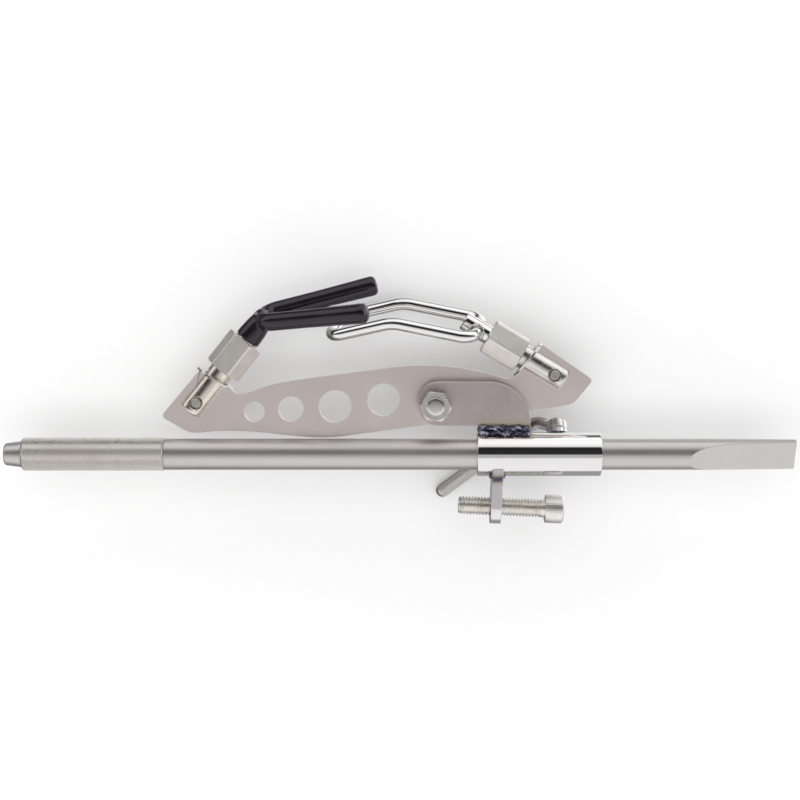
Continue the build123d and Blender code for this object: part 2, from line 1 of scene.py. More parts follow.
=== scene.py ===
"""Looks of a hand lever tool: a round pry bar with a clampable sliding sleeve that carries a rocking beam
with a vinyl-dipped fork at one end and a bright wire loop at the other."""

import json
import math

import bmesh
import bpy
import numpy as np
from mathutils import Matrix, Vector


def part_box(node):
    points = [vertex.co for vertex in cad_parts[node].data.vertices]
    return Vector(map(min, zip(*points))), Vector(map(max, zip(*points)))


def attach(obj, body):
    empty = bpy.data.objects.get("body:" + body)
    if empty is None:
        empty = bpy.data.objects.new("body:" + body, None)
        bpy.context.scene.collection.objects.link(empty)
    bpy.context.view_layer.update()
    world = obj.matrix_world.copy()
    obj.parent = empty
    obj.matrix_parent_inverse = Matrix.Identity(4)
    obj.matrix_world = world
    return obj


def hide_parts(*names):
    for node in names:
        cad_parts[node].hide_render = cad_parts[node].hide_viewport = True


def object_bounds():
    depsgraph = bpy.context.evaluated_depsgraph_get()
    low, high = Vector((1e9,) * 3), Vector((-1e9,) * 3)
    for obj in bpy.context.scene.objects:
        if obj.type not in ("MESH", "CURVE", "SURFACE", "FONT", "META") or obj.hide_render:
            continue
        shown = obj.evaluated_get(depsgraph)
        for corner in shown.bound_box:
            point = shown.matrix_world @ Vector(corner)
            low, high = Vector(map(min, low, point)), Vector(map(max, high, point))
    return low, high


bl_info = {
    "name": "Hand Lever Tool",
    "version": (1, 0, 0),
    "blender": (4, 5, 0),
    "location": "View3D > Sidebar > Lever Tool",
    "description": "Builds the visible pieces and finishes of a hand lever tool with a rocking hook beam",
    "category": "Object",
}

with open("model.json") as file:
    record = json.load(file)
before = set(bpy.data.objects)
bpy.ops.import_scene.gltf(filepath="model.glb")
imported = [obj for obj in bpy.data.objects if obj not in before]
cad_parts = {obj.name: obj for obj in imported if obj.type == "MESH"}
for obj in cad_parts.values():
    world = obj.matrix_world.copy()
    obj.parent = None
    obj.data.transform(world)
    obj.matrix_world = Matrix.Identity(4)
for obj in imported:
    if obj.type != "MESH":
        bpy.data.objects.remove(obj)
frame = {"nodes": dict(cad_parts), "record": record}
CAD_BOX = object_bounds()
MM = 0.001
BUILT = {}

# shape values that the CAD source also uses
FORK_POINT = math.radians(10.2)
FORK_SPREAD = math.radians(72.1)
FORK_DIP = math.radians(66.7)
FORK_STEM_END = 55.3 * MM
FORK_BASE_R = 7.5 * MM
LOOP_SWIVEL = math.radians(25.0)
LOOP_JOIN = 45.5 * MM
LOOP_BENDS = (math.radians(21.8), math.radians(47.0))
LOOP_RUNS = (42.0 * MM, 35.0 * MM)
LOOP_HALF_WIDTH = 13.25 * MM
LOOP_CORNER_R = 7.0 * MM
LOOP_KNEE_R = 22.0 * MM
LOOP_ROD_R = 6.35 / 2 * MM
HANDLE_KNEE = np.array((272.4, 15.4, -17.5)) * MM
HANDLE_END = np.array((221.5, -24.9, -34.5)) * MM
HANDLE_BEND_R = 8.0 * MM
HANDLE_ROD_R = 3.15 * MM
HANDLE_GRIP_R = 3.6 * MM
HUB_MIDDLE = 17.4 * MM
THREAD_R = 9.525 / 2 * MM
SCREW_HEAD_HEIGHT = 9.4 * MM
SOCKET_HALF = 7.94 / 2 * MM
SOCKET_DEPTH = 4.8 * MM

# shape values of the visible pieces only
CORNER_EASE = 0.2 * MM
GRIP_WALL = 1.7 * MM
GRIP_CHAMFER = 0.9 * MM
ARM_BEAD_SIDES = (1.0, 0.66)
TAB_BEAD_HALF = (3.0 * MM, 7.6 * MM)
TAB_BEAD_R = 1.35 * MM
BOSS_BEAD_R = 1.1 * MM
LOOP_BEAD_R = 1.05 * MM
LOOP_BEAD_PLACE = 4.6 * MM
LOOP_BEAD_SINK = 1.5 * MM
BOLT_POINT_HEIGHT = 0.9 * MM
BOLT_POINT_INSET = 0.35 * MM
BOLT_THREAD_DEPTH = 0.55 * MM
BOLT_PLAIN_LENGTH = 12.0 * MM
SCREW_THREAD_DEPTH = 0.94 * MM
SCREW_NECK = (1.6 * MM, 1.5 * MM)
SCREW_POINT = (1.1 * MM, 1.0 * MM)
SWELLING_LENGTH = 34 * MM
TIP_LENGTH = 3.6 * MM
TIP_POWER = 2.6
DIP_VOXEL = 0.5 * MM
DIP_SMOOTHING = 8
HANDLE_GRIP_LENGTH = 41.5 * MM
HANDLE_ROD_STOP = 39.5 * MM
HANDLE_KNURL_SHARE = 0.8


def joint_place(name):
    """Point and unit axis of a joint at rest, as arrays."""
    row = next(j for j in frame["record"]["behaviour"]["joints"] if j["name"] == name)
    axis = np.array(row["axis"], float)
    return np.array(row.get("pos_m", (0, 0, 0)), float), axis / np.linalg.norm(axis)


def corners(node):
    """Lowest and highest corner of a CAD node as arrays."""
    low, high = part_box(node)
    return np.array(low, float), np.array(high, float)


def node_points(node):
    """Points of a CAD node's mesh."""
    mesh = frame["nodes"][node].data
    points = np.empty(len(mesh.vertices) * 3)
    mesh.vertices.foreach_get("co", points)
    return points.reshape(-1, 3)


# ---------------------------------------------------------------- sizes a user would change
class LeverToolSizes(bpy.types.PropertyGroup):
    knurl_length: bpy.props.FloatProperty(
        name="Knurl diamond", description="Length of one diamond of the knurl along the grip",
        default=1.75 * MM, min=0.5 * MM, unit="LENGTH")
    knurl_depth: bpy.props.FloatProperty(
        name="Knurl depth", description="Depth of the knurl's grooves",
        default=0.42 * MM, min=0.0, unit="LENGTH")
    edge_round: bpy.props.FloatProperty(
        name="Edge round", description="Radius left on deburred edges",
        default=0.28 * MM, min=0.0, unit="LENGTH")
    thread_pitch: bpy.props.FloatProperty(
        name="Thread pitch", description="Pitch of the stop screw's thread",
        default=25.4 / 16 * MM, unit="LENGTH")
    weld_size: bpy.props.FloatProperty(
        name="Weld size", description="Radius of the bead under the arm plate", default=3.3 * MM, unit="LENGTH")
    prong_reach: bpy.props.FloatProperty(
        name="Prong reach", description="From the fork's base to its tips", default=57.7 * MM, unit="LENGTH")
    prong_half_angle: bpy.props.FloatProperty(
        name="Prong angle", description="Angle of each prong to the fork's middle line",
        default=math.radians(11.9), subtype="ANGLE")
    prong_radius: bpy.props.FloatProperty(
        name="Prong radius", description="Radius of a dipped prong at its base",
        default=4.72 * MM, unit="LENGTH")
    prong_swell: bpy.props.FloatProperty(
        name="Prong swelling", description="How much thicker the dip is near the tips",
        default=0.5 * MM, unit="LENGTH")


class LeverToolColours(bpy.types.PropertyGroup):
    bar: bpy.props.FloatVectorProperty(
        name="Bar", description="Polished bar", subtype="COLOR", default=(0.64, 0.615, 0.615), size=3)
    knurl: bpy.props.FloatVectorProperty(
        name="Knurl", description="Knurled grip", subtype="COLOR", default=(1.0, 0.96, 0.92), size=3)
    sleeve: bpy.props.FloatVectorProperty(
        name="Sleeve", description="Mirror-polished sleeve", subtype="COLOR",
        default=(0.84, 0.83, 0.83), size=3)
    arm: bpy.props.FloatVectorProperty(
        name="Arm plate", description="Brushed arm plate", subtype="COLOR", default=(0.71, 0.61, 0.60), size=3)
    beam: bpy.props.FloatVectorProperty(
        name="Beam", description="Satin beam", subtype="COLOR", default=(0.95, 0.855, 0.825), size=3)
    stud: bpy.props.FloatVectorProperty(
        name="Studs", description="Straw-tinted studs", subtype="COLOR", default=(0.82, 0.76, 0.68), size=3)
    nut: bpy.props.FloatVectorProperty(
        name="Coupling nuts", description="Drawn hexagon bar", subtype="COLOR",
        default=(0.92, 0.88, 0.84), size=3)
    vinyl: bpy.props.FloatVectorProperty(
        name="Vinyl", description="Dipped vinyl", subtype="COLOR", default=(0.010, 0.007, 0.012), size=3)
    chrome: bpy.props.FloatVectorProperty(
        name="Loop", description="Bright wire loop", subtype="COLOR", default=(0.84, 0.83, 0.83), size=3)
    screw: bpy.props.FloatVectorProperty(
        name="Screws", description="Plain screws", subtype="COLOR", default=(0.92, 0.89, 0.85), size=3)
    weld: bpy.props.FloatVectorProperty(
        name="Weld", description="Dark bead under the arm plate", subtype="COLOR",
        default=(0.055, 0.055, 0.10), size=3)


def sizes():
    """This scene's sizes."""
    return bpy.context.scene.lever_sizes


def colours():
    """This scene's colours."""
    return bpy.context.scene.lever_colours


# ---------------------------------------------------------------- surfaces
def unit(vector):
    """Vectors divided by their lengths."""
    vector = np.asarray(vector, float)
    return vector / np.linalg.norm(vector, axis=-1, keepdims=True)


def sideways(axis):
    """Two unit vectors square to an axis and to each other."""
    hint = np.array((0.0, 0.0, 1.0)) if abs(axis[2]) < 0.9 else np.array((1.0, 0.0, 0.0))
    first = unit(np.cross(hint, axis))
    return first, np.cross(axis, first)


def grid_mesh(name, points, loop_rows=False, loop_columns=True):
    """Mesh of a grid of points: one quad between each four neighbours, ends closed where a row shrinks to a
    point."""
    rows, columns = points.shape[:2]
    row = np.arange(rows if loop_rows else rows - 1)
    column = np.arange(columns if loop_columns else columns - 1)
    a, b = np.meshgrid(row, column, indexing="ij")
    down, across = (a + 1) % rows, (b + 1) % columns
    quads = np.stack([a * columns + b, a * columns + across, down * columns + across, down * columns + b], -1)
    mesh = bpy.data.meshes.new(name)
    mesh.from_pydata(points.reshape(-1, 3), [], quads.reshape(-1, 4))
    work = bmesh.new()
    work.from_mesh(mesh)
    bmesh.ops.remove_doubles(work, verts=work.verts, dist=1e-7)
    bmesh.ops.recalc_face_normals(work, faces=work.faces)
    work.to_mesh(mesh)
    work.free()
    return mesh


def show(name, mesh, slot, body, *nodes, smooth_angle=40):
    """New object for a mesh: it rides on a body, stands for its CAD nodes and takes its slot's finish."""
    obj = bpy.data.objects.new(name, mesh)
    bpy.context.scene.collection.objects.link(obj)
    mesh.polygons.foreach_set("use_smooth", np.ones(len(mesh.polygons), bool))
    mesh.set_sharp_from_angle(angle=math.radians(smooth_angle))
    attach(obj, body)
    if nodes:
        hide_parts(*nodes)
    dress(obj, slot)
    return obj


def lathe(name, origin, axis, along, radius, columns, start=0.0, loop=False):
    """Surface of revolution: each row is a circle at a distance along the axis. radius holds one value for
    each row, or for each row and column where the turned surface is cut by a thread or a knurl. A loop joins
    its last row to its first, which is the wall of a bore."""
    first, second = sideways(axis)
    angle = start + np.linspace(0, 2 * np.pi, columns, endpoint=False)
    ring = np.cos(angle)[:, None] * first + np.sin(angle)[:, None] * second
    along = np.asarray(along, float)
    radius = np.asarray(radius, float)
    radius = radius[:, None] if radius.ndim == 1 else radius
    points = origin + along[:, None, None] * axis + (radius * np.ones(columns))[..., None] * ring
    return grid_mesh(name, points, loop_rows=loop)


def hexagon_radius(flat, turn):
    """Distance to a hexagon's flats at an angle from one of its corners: half the width across flats over
    the cosine of the angle from the nearest flat."""
    return flat / np.cos(turn % (np.pi / 3) - np.pi / 6)


def hexagon_of(node, pos, axis, columns):
    """Corner angle, half width across flats, distance to the flats at each column with the corners just
    eased, and bore radius of a CAD node's hexagon."""
    first, second = sideways(axis)
    points = node_points(node) - pos
    out = points - (points @ axis)[:, None] * axis
    far = np.linalg.norm(out, axis=1)
    tip = out[far.argmax()]
    corner = float(far.max())
    flat = corner * math.cos(math.pi / 6)
    turn = np.linspace(0, 2 * np.pi, columns, endpoint=False)
    sides = np.minimum(hexagon_radius(flat, turn), corner - CORNER_EASE)
    return math.atan2(tip @ second, tip @ first), flat, sides, float(far.min())


def hexagon_rows(low, high, flat, bore):
    """Distances along the axis and end-cone radii of a hexagon piece turned off at 30 degrees at both ends."""
    rise = flat * (1 / math.cos(math.pi / 6) - 1)
    share = np.linspace(0, 1, 12)
    drop = rise * math.tan(math.pi / 6)
    along = np.concatenate([[low], low + share * drop, [low + 1.3 * drop, high - 1.3 * drop],
                            high - share[::-1] * drop, [high]])
    cone = np.concatenate([[bore], flat * 0.985 + share * rise * 1.2, [1.0, 1.0],
                           (flat * 0.985 + share * rise * 1.2)[::-1], [bore]])
    return along, cone


def hexagon_nut(node, slot, pos, axis):
    """Hex nut in place of a CAD node, bored through and turned to the node's own corners."""
    columns = 240
    start, flat, sides, bore = hexagon_of(node, pos, axis, columns)
    reach = (node_points(node) - pos) @ axis
    along, cone = hexagon_rows(reach.min(), reach.max(), flat, bore)
    radius = np.minimum(cone[:, None], sides[None, :])
    name = node + "_finished"
    mesh = lathe(name, pos, axis, along, radius, columns, start, loop=True)
    return show(name, mesh, slot, body_of(node), node, smooth_angle=24)


def tube(name, path, radius, hint, loop=False):
    """Tube about a path: each row is a circle square to the path's direction, and radius holds one value, one
    for each row, or one for each row and column. hint is a direction that the path never takes."""
    path = np.asarray(path, float)
    if loop:
        tangent = unit(np.roll(path, -1, 0) - np.roll(path, 1, 0))
    else:
        tangent = unit(np.gradient(path, axis=0))
    first = unit(np.cross(np.broadcast_to(hint, path.shape), tangent))
    second = np.cross(tangent, first)
    radius = np.asarray(radius, float)
    columns = radius.shape[1] if radius.ndim == 2 else 40
    radius = np.broadcast_to(radius.reshape(len(radius), -1) if radius.ndim else radius, (len(path), columns))
    angle = np.linspace(0, 2 * np.pi, columns, endpoint=False)
    ring = np.cos(angle)[:, None] * first[:, None] + np.sin(angle)[:, None] * second[:, None]
    return grid_mesh(name, path[:, None] + radius[..., None] * ring, loop_rows=loop)


def rounded_path(points, radii, step, loop=False):
    """Straight runs joined by arcs: at each corner the arc touches both runs at radius times the tangent of
    half the turn, and its middle lies on the corner's bisector."""
    points = np.asarray(points, float)
    count = len(points)
    pieces = [] if loop else [points[:1]]
    for i in range(0 if loop else 1, count if loop else count - 1):
        back, ahead = unit(points[i - 1] - points[i]), unit(points[(i + 1) % count] - points[i])
        half_turn = (math.pi - math.acos(float(back @ ahead))) / 2
        radius = radii[i if loop else i - 1]
        centre = points[i] + unit(back + ahead) * radius / math.cos(half_turn)
        outward = unit(points[i] - centre)
        forward = unit(ahead - back)
        swing = np.linspace(-half_turn, half_turn, 2 + int(2 * half_turn * radius / step))[:, None]
        pieces.append(centre + radius * (np.cos(swing) * outward + np.sin(swing) * forward))
    if not loop:
        pieces.append(points[-1:])
    corners_only = np.concatenate(pieces)
    closed = np.concatenate([corners_only, corners_only[:1]]) if loop else corners_only
    length = np.concatenate([[0], np.cumsum(np.linalg.norm(np.diff(closed, axis=0), axis=1))])
    even = np.linspace(0, length[-1], int(length[-1] / step) + 1)
    even = even[:-1] if loop else even
    return np.stack([np.interp(even, length, closed[:, k]) for k in range(3)], 1)


def softened(node, slot, round_by=None, segments=2):
    """Copy of a CAD node with its triangles merged into faces and its sharp edges rounded by a bevel."""
    mesh = frame["nodes"][node].data.copy()
    mesh.materials.clear()
    work = bmesh.new()
    work.from_mesh(mesh)
    bmesh.ops.remove_doubles(work, verts=work.verts, dist=2e-6)
    bmesh.ops.dissolve_limit(work, angle_limit=math.radians(0.3), verts=work.verts, edges=work.edges)
    work.to_mesh(mesh)
    work.free()
    if "custom_normal" in mesh.attributes:
        mesh.attributes.remove(mesh.attributes["custom_normal"])
    obj = show(node + "_finished", mesh, slot, body_of(node), node, smooth_angle=32)
    bevel = obj.modifiers.new("deburred edges", "BEVEL")
    bevel.width = sizes().edge_round if round_by is None else round_by
    bevel.segments = segments
    bevel.limit_method = "ANGLE"
    bevel.angle_limit = math.radians(34)
    bevel.use_clamp_overlap = False
    obj.modifiers.new("even shading", "WEIGHTED_NORMAL").keep_sharp = True
    return obj


def body_of(node):
    """Name of the body that a CAD node belongs to."""
    return next(b for b, nodes in frame["record"]["behaviour"]["bodies"].items() if node in nodes)


def diamond_knurl(rows, columns):
    """Height from 0 to 1 of a diamond knurl: two crossed sets of grooves, four grid steps from one to the
    next, and the height at a point is its distance from the nearer groove."""
    i, j = np.meshgrid(np.arange(rows), np.arange(columns), indexing="ij")
    one, other = ((i + j) / 4) % 1, ((i - j) / 4) % 1
    height = 2 * np.minimum(np.minimum(one, 1 - one), np.minimum(other, 1 - other))
    return np.clip(1.15 * height, 0, 1)


def thread_cut(along, columns, pitch):
    """Share of the full depth that a helical thread is cut to: a flat crest, two flanks and a flat root,
    one pitch on for each turn."""
    angle = np.linspace(0, 1, columns, endpoint=False)
    phase = (np.asarray(along)[:, None] / pitch - angle) % 1
    return np.clip((np.abs(2 * phase - 1) - 0.14) / 0.66, 0, 1)


def weld_radius(count, columns, radius, ripples, seed):
    """Radius of a weld bead: crescent ripples that lag at the sides, and slow random lumps."""
    random = np.random.default_rng(seed)
    along = np.linspace(0, 1, count)[:, None]
    round_it = np.linspace(0, 2 * np.pi, columns, endpoint=False)[None, :]
    phase = ripples * along + 0.35 * np.cos(round_it) + 0.16 * np.sin(2 * np.pi * 1.7 * along + 2 * round_it)
    phase = phase + 0.5 * np.sin(2 * np.pi * 2.1 * along + random.uniform(0, 6))
    ripple = np.abs(np.sin(np.pi * phase)) ** 0.6
    lumps = np.zeros((count, columns))
    for k in range(1, 6):
        turn = random.uniform(0, 2 * np.pi, 2)
        lumps += np.sin(2 * np.pi * k * 2.3 * along + turn[0]) * np.cos(k * round_it + turn[1]) / k
    return radius * (0.86 + 0.13 * ripple + 0.09 * lumps)


# ---------------------------------------------------------------- shader groups
def group(name, inputs, outputs):
    """Shader node group with named sockets and its two end nodes, or None for both if it is already built."""
    if name in bpy.data.node_groups:
        return bpy.data.node_groups[name], None, None
    tree = bpy.data.node_groups.new(name, "ShaderNodeTree")
    for label, kind, default in inputs:
        socket = tree.interface.new_socket(label, in_out="INPUT", socket_type=kind)
        socket.default_value = default
    for label, kind in outputs:
        tree.interface.new_socket(label, in_out="OUTPUT", socket_type=kind)
    return tree, tree.nodes.new("NodeGroupInput"), tree.nodes.new("NodeGroupOutput")


def add(tree, kind, settings=(), **values):
    """New node with its settings and input values. A value that is a socket is linked instead."""
    node = tree.nodes.new(kind)
    for key, value in dict(settings).items():
        setattr(node, key, value)
    for key, value in values.items():
        numbered = key[0] == "i" and key[1:].isdigit()
        socket = node.inputs[int(key[1:]) if numbered else key.replace("_", " ")]
        if isinstance(value, bpy.types.NodeSocket):
            tree.links.new(value, socket)
        else:
            socket.default_value = value
    return node


def maths(tree, operation, *values, clamp=False):
    """Output of a Math node."""
    inputs = {f"i{k}": value for k, value in enumerate(values)}
    return add(tree, "ShaderNodeMath", {"operation": operation, "use_clamp": clamp}, **inputs).outputs[0]


def vector_maths(tree, operation, *values):
    """Vector Math node."""
    inputs = {f"i{k}": value for k, value in enumerate(values)}
    return add(tree, "ShaderNodeVectorMath", {"operation": operation}, **inputs)


def fill_ramp(ramp, bands):
    """Sets a colour ramp's stops from pairs of place and colour."""
    stops = ramp.color_ramp.elements
    for stop, (place, colour) in zip((stops[0], stops[1]), (bands[0], bands[-1])):
        stop.position, stop.color = place, (*colour, 1)
    for place, colour in bands[1:-1]:
        stops.new(place).color = (*colour, 1)


def grain_group():
    """Brushed grain: fine noise drawn out along one direction, plus a slow unevenness."""
    tree, enter, leave = group(
        "brushed grain",
        [("Vector", "NodeSocketVector", (0, 0, 0)), ("Stretch", "NodeSocketVector", (40, 900, 900)),
         ("Low", "NodeSocketFloat", 0.2), ("High", "NodeSocketFloat", 0.4)],
        [("Value", "NodeSocketFloat"), ("Height", "NodeSocketFloat")])
    if enter:
        drawn = vector_maths(tree, "MULTIPLY", enter.outputs["Vector"], enter.outputs["Stretch"])
        fine = add(tree, "ShaderNodeTexNoise", Vector=drawn.outputs[0], Scale=1.0, Detail=4.0, Roughness=0.6)
        slow = add(tree, "ShaderNodeTexNoise", Vector=enter.outputs["Vector"], Scale=45.0, Detail=2.0)
        mixed = maths(tree, "MULTIPLY_ADD", slow.outputs[0], 0.4, maths(tree, "MULTIPLY", fine.outputs[0], 0.6))
        value = add(tree, "ShaderNodeMapRange", i0=mixed, i1=0.35, i2=0.65,
                    i3=enter.outputs["Low"], i4=enter.outputs["High"])
        tree.links.new(value.outputs[0], leave.inputs["Value"])
        tree.links.new(fine.outputs[0], leave.inputs["Height"])
    return tree


def scratch_group():
    """Handling scratches: two crossed sets of thin lines, broken up by a slow noise."""
    tree, enter, leave = group(
        "handling scratches",
        [("Vector", "NodeSocketVector", (0, 0, 0)), ("Amount", "NodeSocketFloat", 0.5)],
        [("Mask", "NodeSocketFloat")])
    if enter:
        masks = []
        for turn, offset in ((0.35, 0.0), (-0.6, 3.1), (1.2, 7.7)):
            turned = add(tree, "ShaderNodeMapping", Vector=enter.outputs["Vector"], Rotation=(0, 0, turn),
                         Location=(offset, 0, 0), Scale=(70, 2600, 70))
            line = add(tree, "ShaderNodeTexNoise", Vector=turned.outputs[0], Scale=1.0, Detail=1.0)
            masks.append(add(tree, "ShaderNodeMapRange", i0=line.outputs[0], i1=0.61, i2=0.69).outputs[0])
        breaks = add(tree, "ShaderNodeTexNoise", Vector=enter.outputs["Vector"], Scale=260.0, Detail=1.0)
        some = add(tree, "ShaderNodeMapRange", i0=breaks.outputs[0], i1=0.42, i2=0.60)
        lines = maths(tree, "MAXIMUM", masks[0], maths(tree, "MAXIMUM", masks[1], masks[2]))
        shown = maths(tree, "MULTIPLY", lines, some.outputs[0])
        shown = maths(tree, "MULTIPLY", shown, enter.outputs["Amount"])
        tree.links.new(shown, leave.inputs["Mask"])
    return tree


def stain_group():
    """Uneven colour: patches of a second colour, from faint to its full amount."""
    tree, enter, leave = group(
        "stained colour",
        [("Vector", "NodeSocketVector", (0, 0, 0)), ("Scale", "NodeSocketFloat", 60.0),
         ("Colour", "NodeSocketColor", (0.6, 0.6, 0.6, 1)), ("Stain", "NodeSocketColor", (0.5, 0.45, 0.4, 1)),
         ("Amount", "NodeSocketFloat", 0.4)],
        [("Color", "NodeSocketColor")])
    if enter:
        patch = add(tree, "ShaderNodeTexNoise", Vector=enter.outputs["Vector"], Scale=enter.outputs["Scale"],
                    Detail=3.0, Roughness=0.55)
        share = add(tree, "ShaderNodeMapRange", i0=patch.outputs[0], i1=0.40, i2=0.72, i3=0.0,
                    i4=enter.outputs["Amount"])
        mix = add(tree, "ShaderNodeMix", {"data_type": "RGBA"}, i0=share.outputs[0],
                  i6=enter.outputs["Colour"], i7=enter.outputs["Stain"])
        tree.links.new(mix.outputs[2], leave.inputs["Color"])
    return tree


def groove_shade_group():
    """How deep a point lies under a round piece's crests: 0 on the crest, 1 at the foot of a groove. It is the
    mask of the painted shade in the grooves.
    """
    tree, enter, leave = group(
        "groove depth",
        [("Vector", "NodeSocketVector", (0, 0, 0)), ("Point", "NodeSocketVector", (0, 0, 0)),
         ("Axis", "NodeSocketVector", (1, 0, 0)), ("Radius", "NodeSocketFloat", 0.0085),
         ("Depth", "NodeSocketFloat", 0.0004)],
        [("Mask", "NodeSocketFloat")])
    if enter:
        away = vector_maths(tree, "SUBTRACT", enter.outputs["Vector"], enter.outputs["Point"])
        away = vector_maths(tree, "CROSS_PRODUCT", away.outputs[0], enter.outputs["Axis"])
        away = vector_maths(tree, "LENGTH", away.outputs[0])
        under = maths(tree, "SUBTRACT", enter.outputs["Radius"], away.outputs["Value"])
        mask = maths(tree, "DIVIDE", under, enter.outputs["Depth"], clamp=True)
        tree.links.new(mask, leave.inputs["Mask"])
    return tree


def heat_group():
    """Heat tint: bands of blue, purple and straw that fade with the distance from a straight weld seam."""
    tree, enter, leave = group(
        "heat tint",
        [("Vector", "NodeSocketVector", (0, 0, 0)), ("Middle", "NodeSocketVector", (0, 0, 0)),
         ("Half", "NodeSocketVector", (0.01, 0, 0)), ("Reach", "NodeSocketFloat", 0.006),
         ("Colour", "NodeSocketColor", (0.6, 0.6, 0.6, 1))],
        [("Color", "NodeSocketColor"), ("Mask", "NodeSocketFloat")])
    if enter:
        away = vector_maths(tree, "SUBTRACT", enter.outputs["Vector"], enter.outputs["Middle"])
        away = vector_maths(tree, "ABSOLUTE", away.outputs[0])
        away = vector_maths(tree, "SUBTRACT", away.outputs[0], enter.outputs["Half"])
        away = vector_maths(tree, "MAXIMUM", away.outputs[0], (0, 0, 0))
        length = vector_maths(tree, "LENGTH", away.outputs[0])
        wander = add(tree, "ShaderNodeTexNoise", Vector=enter.outputs["Vector"], Scale=420.0, Detail=3.0)
        far = maths(tree, "DIVIDE", length.outputs["Value"], enter.outputs["Reach"])
        far = maths(tree, "ADD", far, maths(tree, "MULTIPLY_ADD", wander.outputs[0], 0.5, -0.25))
        ramp = add(tree, "ShaderNodeValToRGB", Fac=far)
        fill_ramp(ramp, [(0.0, (0.10, 0.09, 0.16)), (0.14, (0.20, 0.17, 0.28)), (0.30, (0.45, 0.33, 0.22)),
                         (0.55, (0.66, 0.53, 0.38)), (1.0, (0.66, 0.60, 0.54))])
        mask = add(tree, "ShaderNodeMapRange", i0=far, i1=0.15, i2=1.0, i3=0.95, i4=0.0)
        mix = add(tree, "ShaderNodeMix", {"data_type": "RGBA"}, i0=mask.outputs[0],
                  i6=enter.outputs["Colour"], i7=ramp.outputs[0])
        tree.links.new(mix.outputs[2], leave.inputs["Color"])
        tree.links.new(mask.outputs[0], leave.inputs["Mask"])
    return tree


def place_group(tree, group_tree, **values):
    """Node that holds a shader group, with its input values or links."""
    return add(tree, "ShaderNodeGroup", {"node_tree": group_tree}, **values)


# ---------------------------------------------------------------- finishes
def blank_material(name, metallic=1.0):
    """New material with its tree, its shader and the object's own coordinates."""
    material = bpy.data.materials.new(name)
    material.use_nodes = True
    tree = material.node_tree
    shader = tree.nodes["Principled BSDF"]
    shader.inputs["Metallic"].default_value = metallic
    return material, tree, shader, add(tree, "ShaderNodeTexCoord").outputs["Object"]


def feed_shader(tree, shader, colour, rough, relief):
    """Links a shader's colour, its roughness and its relief."""
    tree.links.new(colour, shader.inputs["Base Color"])
    tree.links.new(rough, shader.inputs["Roughness"])
    tree.links.new(relief.outputs["Normal"], shader.inputs["Normal"])


def steel(name, colour, stain, rough, stretch, stain_scale, stain_amount, scratches, bump, heat, groove):
    """Bare metal: stained colour, brushed roughness, handling scratches and, where it has them, a heat tint by
    a weld and painted shade in its grooves."""
    material, tree, shader, where = blank_material(name)
    tint = place_group(tree, stain_group(), Vector=where, Scale=stain_scale, Colour=(*colour, 1),
                       Stain=(*stain, 1), Amount=stain_amount).outputs["Color"]
    grain = place_group(tree, grain_group(), Vector=where, Stretch=stretch, Low=rough[0], High=rough[1])
    lines = place_group(tree, scratch_group(), Vector=where, Amount=scratches).outputs["Mask"]
    paler = add(tree, "ShaderNodeMix", {"data_type": "RGBA"}, i0=maths(tree, "MULTIPLY", lines, 0.35),
                i6=tint, i7=(0.92, 0.90, 0.88, 1)).outputs[2]
    rougher = maths(tree, "MULTIPLY_ADD", lines, 0.12, grain.outputs["Value"])
    if heat:
        middle, half, reach = heat
        burnt = place_group(tree, heat_group(), Vector=where, Middle=tuple(middle), Half=tuple(half),
                            Reach=reach, Colour=paler)
        paler = burnt.outputs["Color"]
    # painted shade: the colour darkens towards the foot of each knurl groove, where shade falls
    if groove:
        point, axis, radius, depth = groove
        deep = place_group(tree, groove_shade_group(), Vector=where, Point=tuple(point), Axis=tuple(axis),
                           Radius=radius, Depth=depth).outputs["Mask"]
        dark = tuple(0.70 * v for v in stain) + (1,)
        paler = add(tree, "ShaderNodeMix", {"data_type": "RGBA"}, i0=deep, i6=paler, i7=dark).outputs[2]
    relief = add(tree, "ShaderNodeBump", Strength=bump, Distance=0.2 * MM, Height=grain.outputs["Height"])
    feed_shader(tree, shader, paler, rougher, relief)
    return material


def vinyl(name, colour):
    """Dipped vinyl: smooth dark body, slow waves in its skin, faint dust in its roughness."""
    material, tree, shader, where = blank_material(name, metallic=0.0)
    tint = place_group(tree, stain_group(), Vector=where, Scale=90.0, Colour=(*colour, 1),
                       Stain=(0.018, 0.013, 0.021, 1), Amount=0.8)
    dust = place_group(tree, grain_group(), Vector=where, Stretch=(260, 260, 260), Low=0.07, High=0.15)
    waves = add(tree, "ShaderNodeTexNoise", Vector=where, Scale=120.0, Detail=1.0)
    relief = add(tree, "ShaderNodeBump", Strength=0.25, Distance=0.6 * MM, Height=waves.outputs[0])
    feed_shader(tree, shader, tint.outputs["Color"], dust.outputs["Value"], relief)
    return material


def weld_metal(name, dark, light, tints):
    """Weld bead: scaly metal in two tones, with islands of a third."""
    material, tree, shader, where = blank_material(name)
    drawn = vector_maths(tree, "MULTIPLY", where, (0.45, 1.0, 1.0))
    scale = add(tree, "ShaderNodeTexNoise", Vector=drawn.outputs[0], Scale=400.0, Detail=3.0, Roughness=0.65,
                Distortion=0.8)
    ramp = add(tree, "ShaderNodeValToRGB", Fac=scale.outputs[0])
    fill_ramp(ramp, [(0.33, dark), (0.44, tints), (0.60, light)])
    grain = place_group(tree, grain_group(), Vector=where, Stretch=(500, 500, 500), Low=0.14, High=0.32)
    relief = add(tree, "ShaderNodeBump", Strength=0.5, Distance=0.3 * MM, Height=scale.outputs[0])
    feed_shader(tree, shader, ramp.outputs[0], grain.outputs["Value"], relief)
    return material


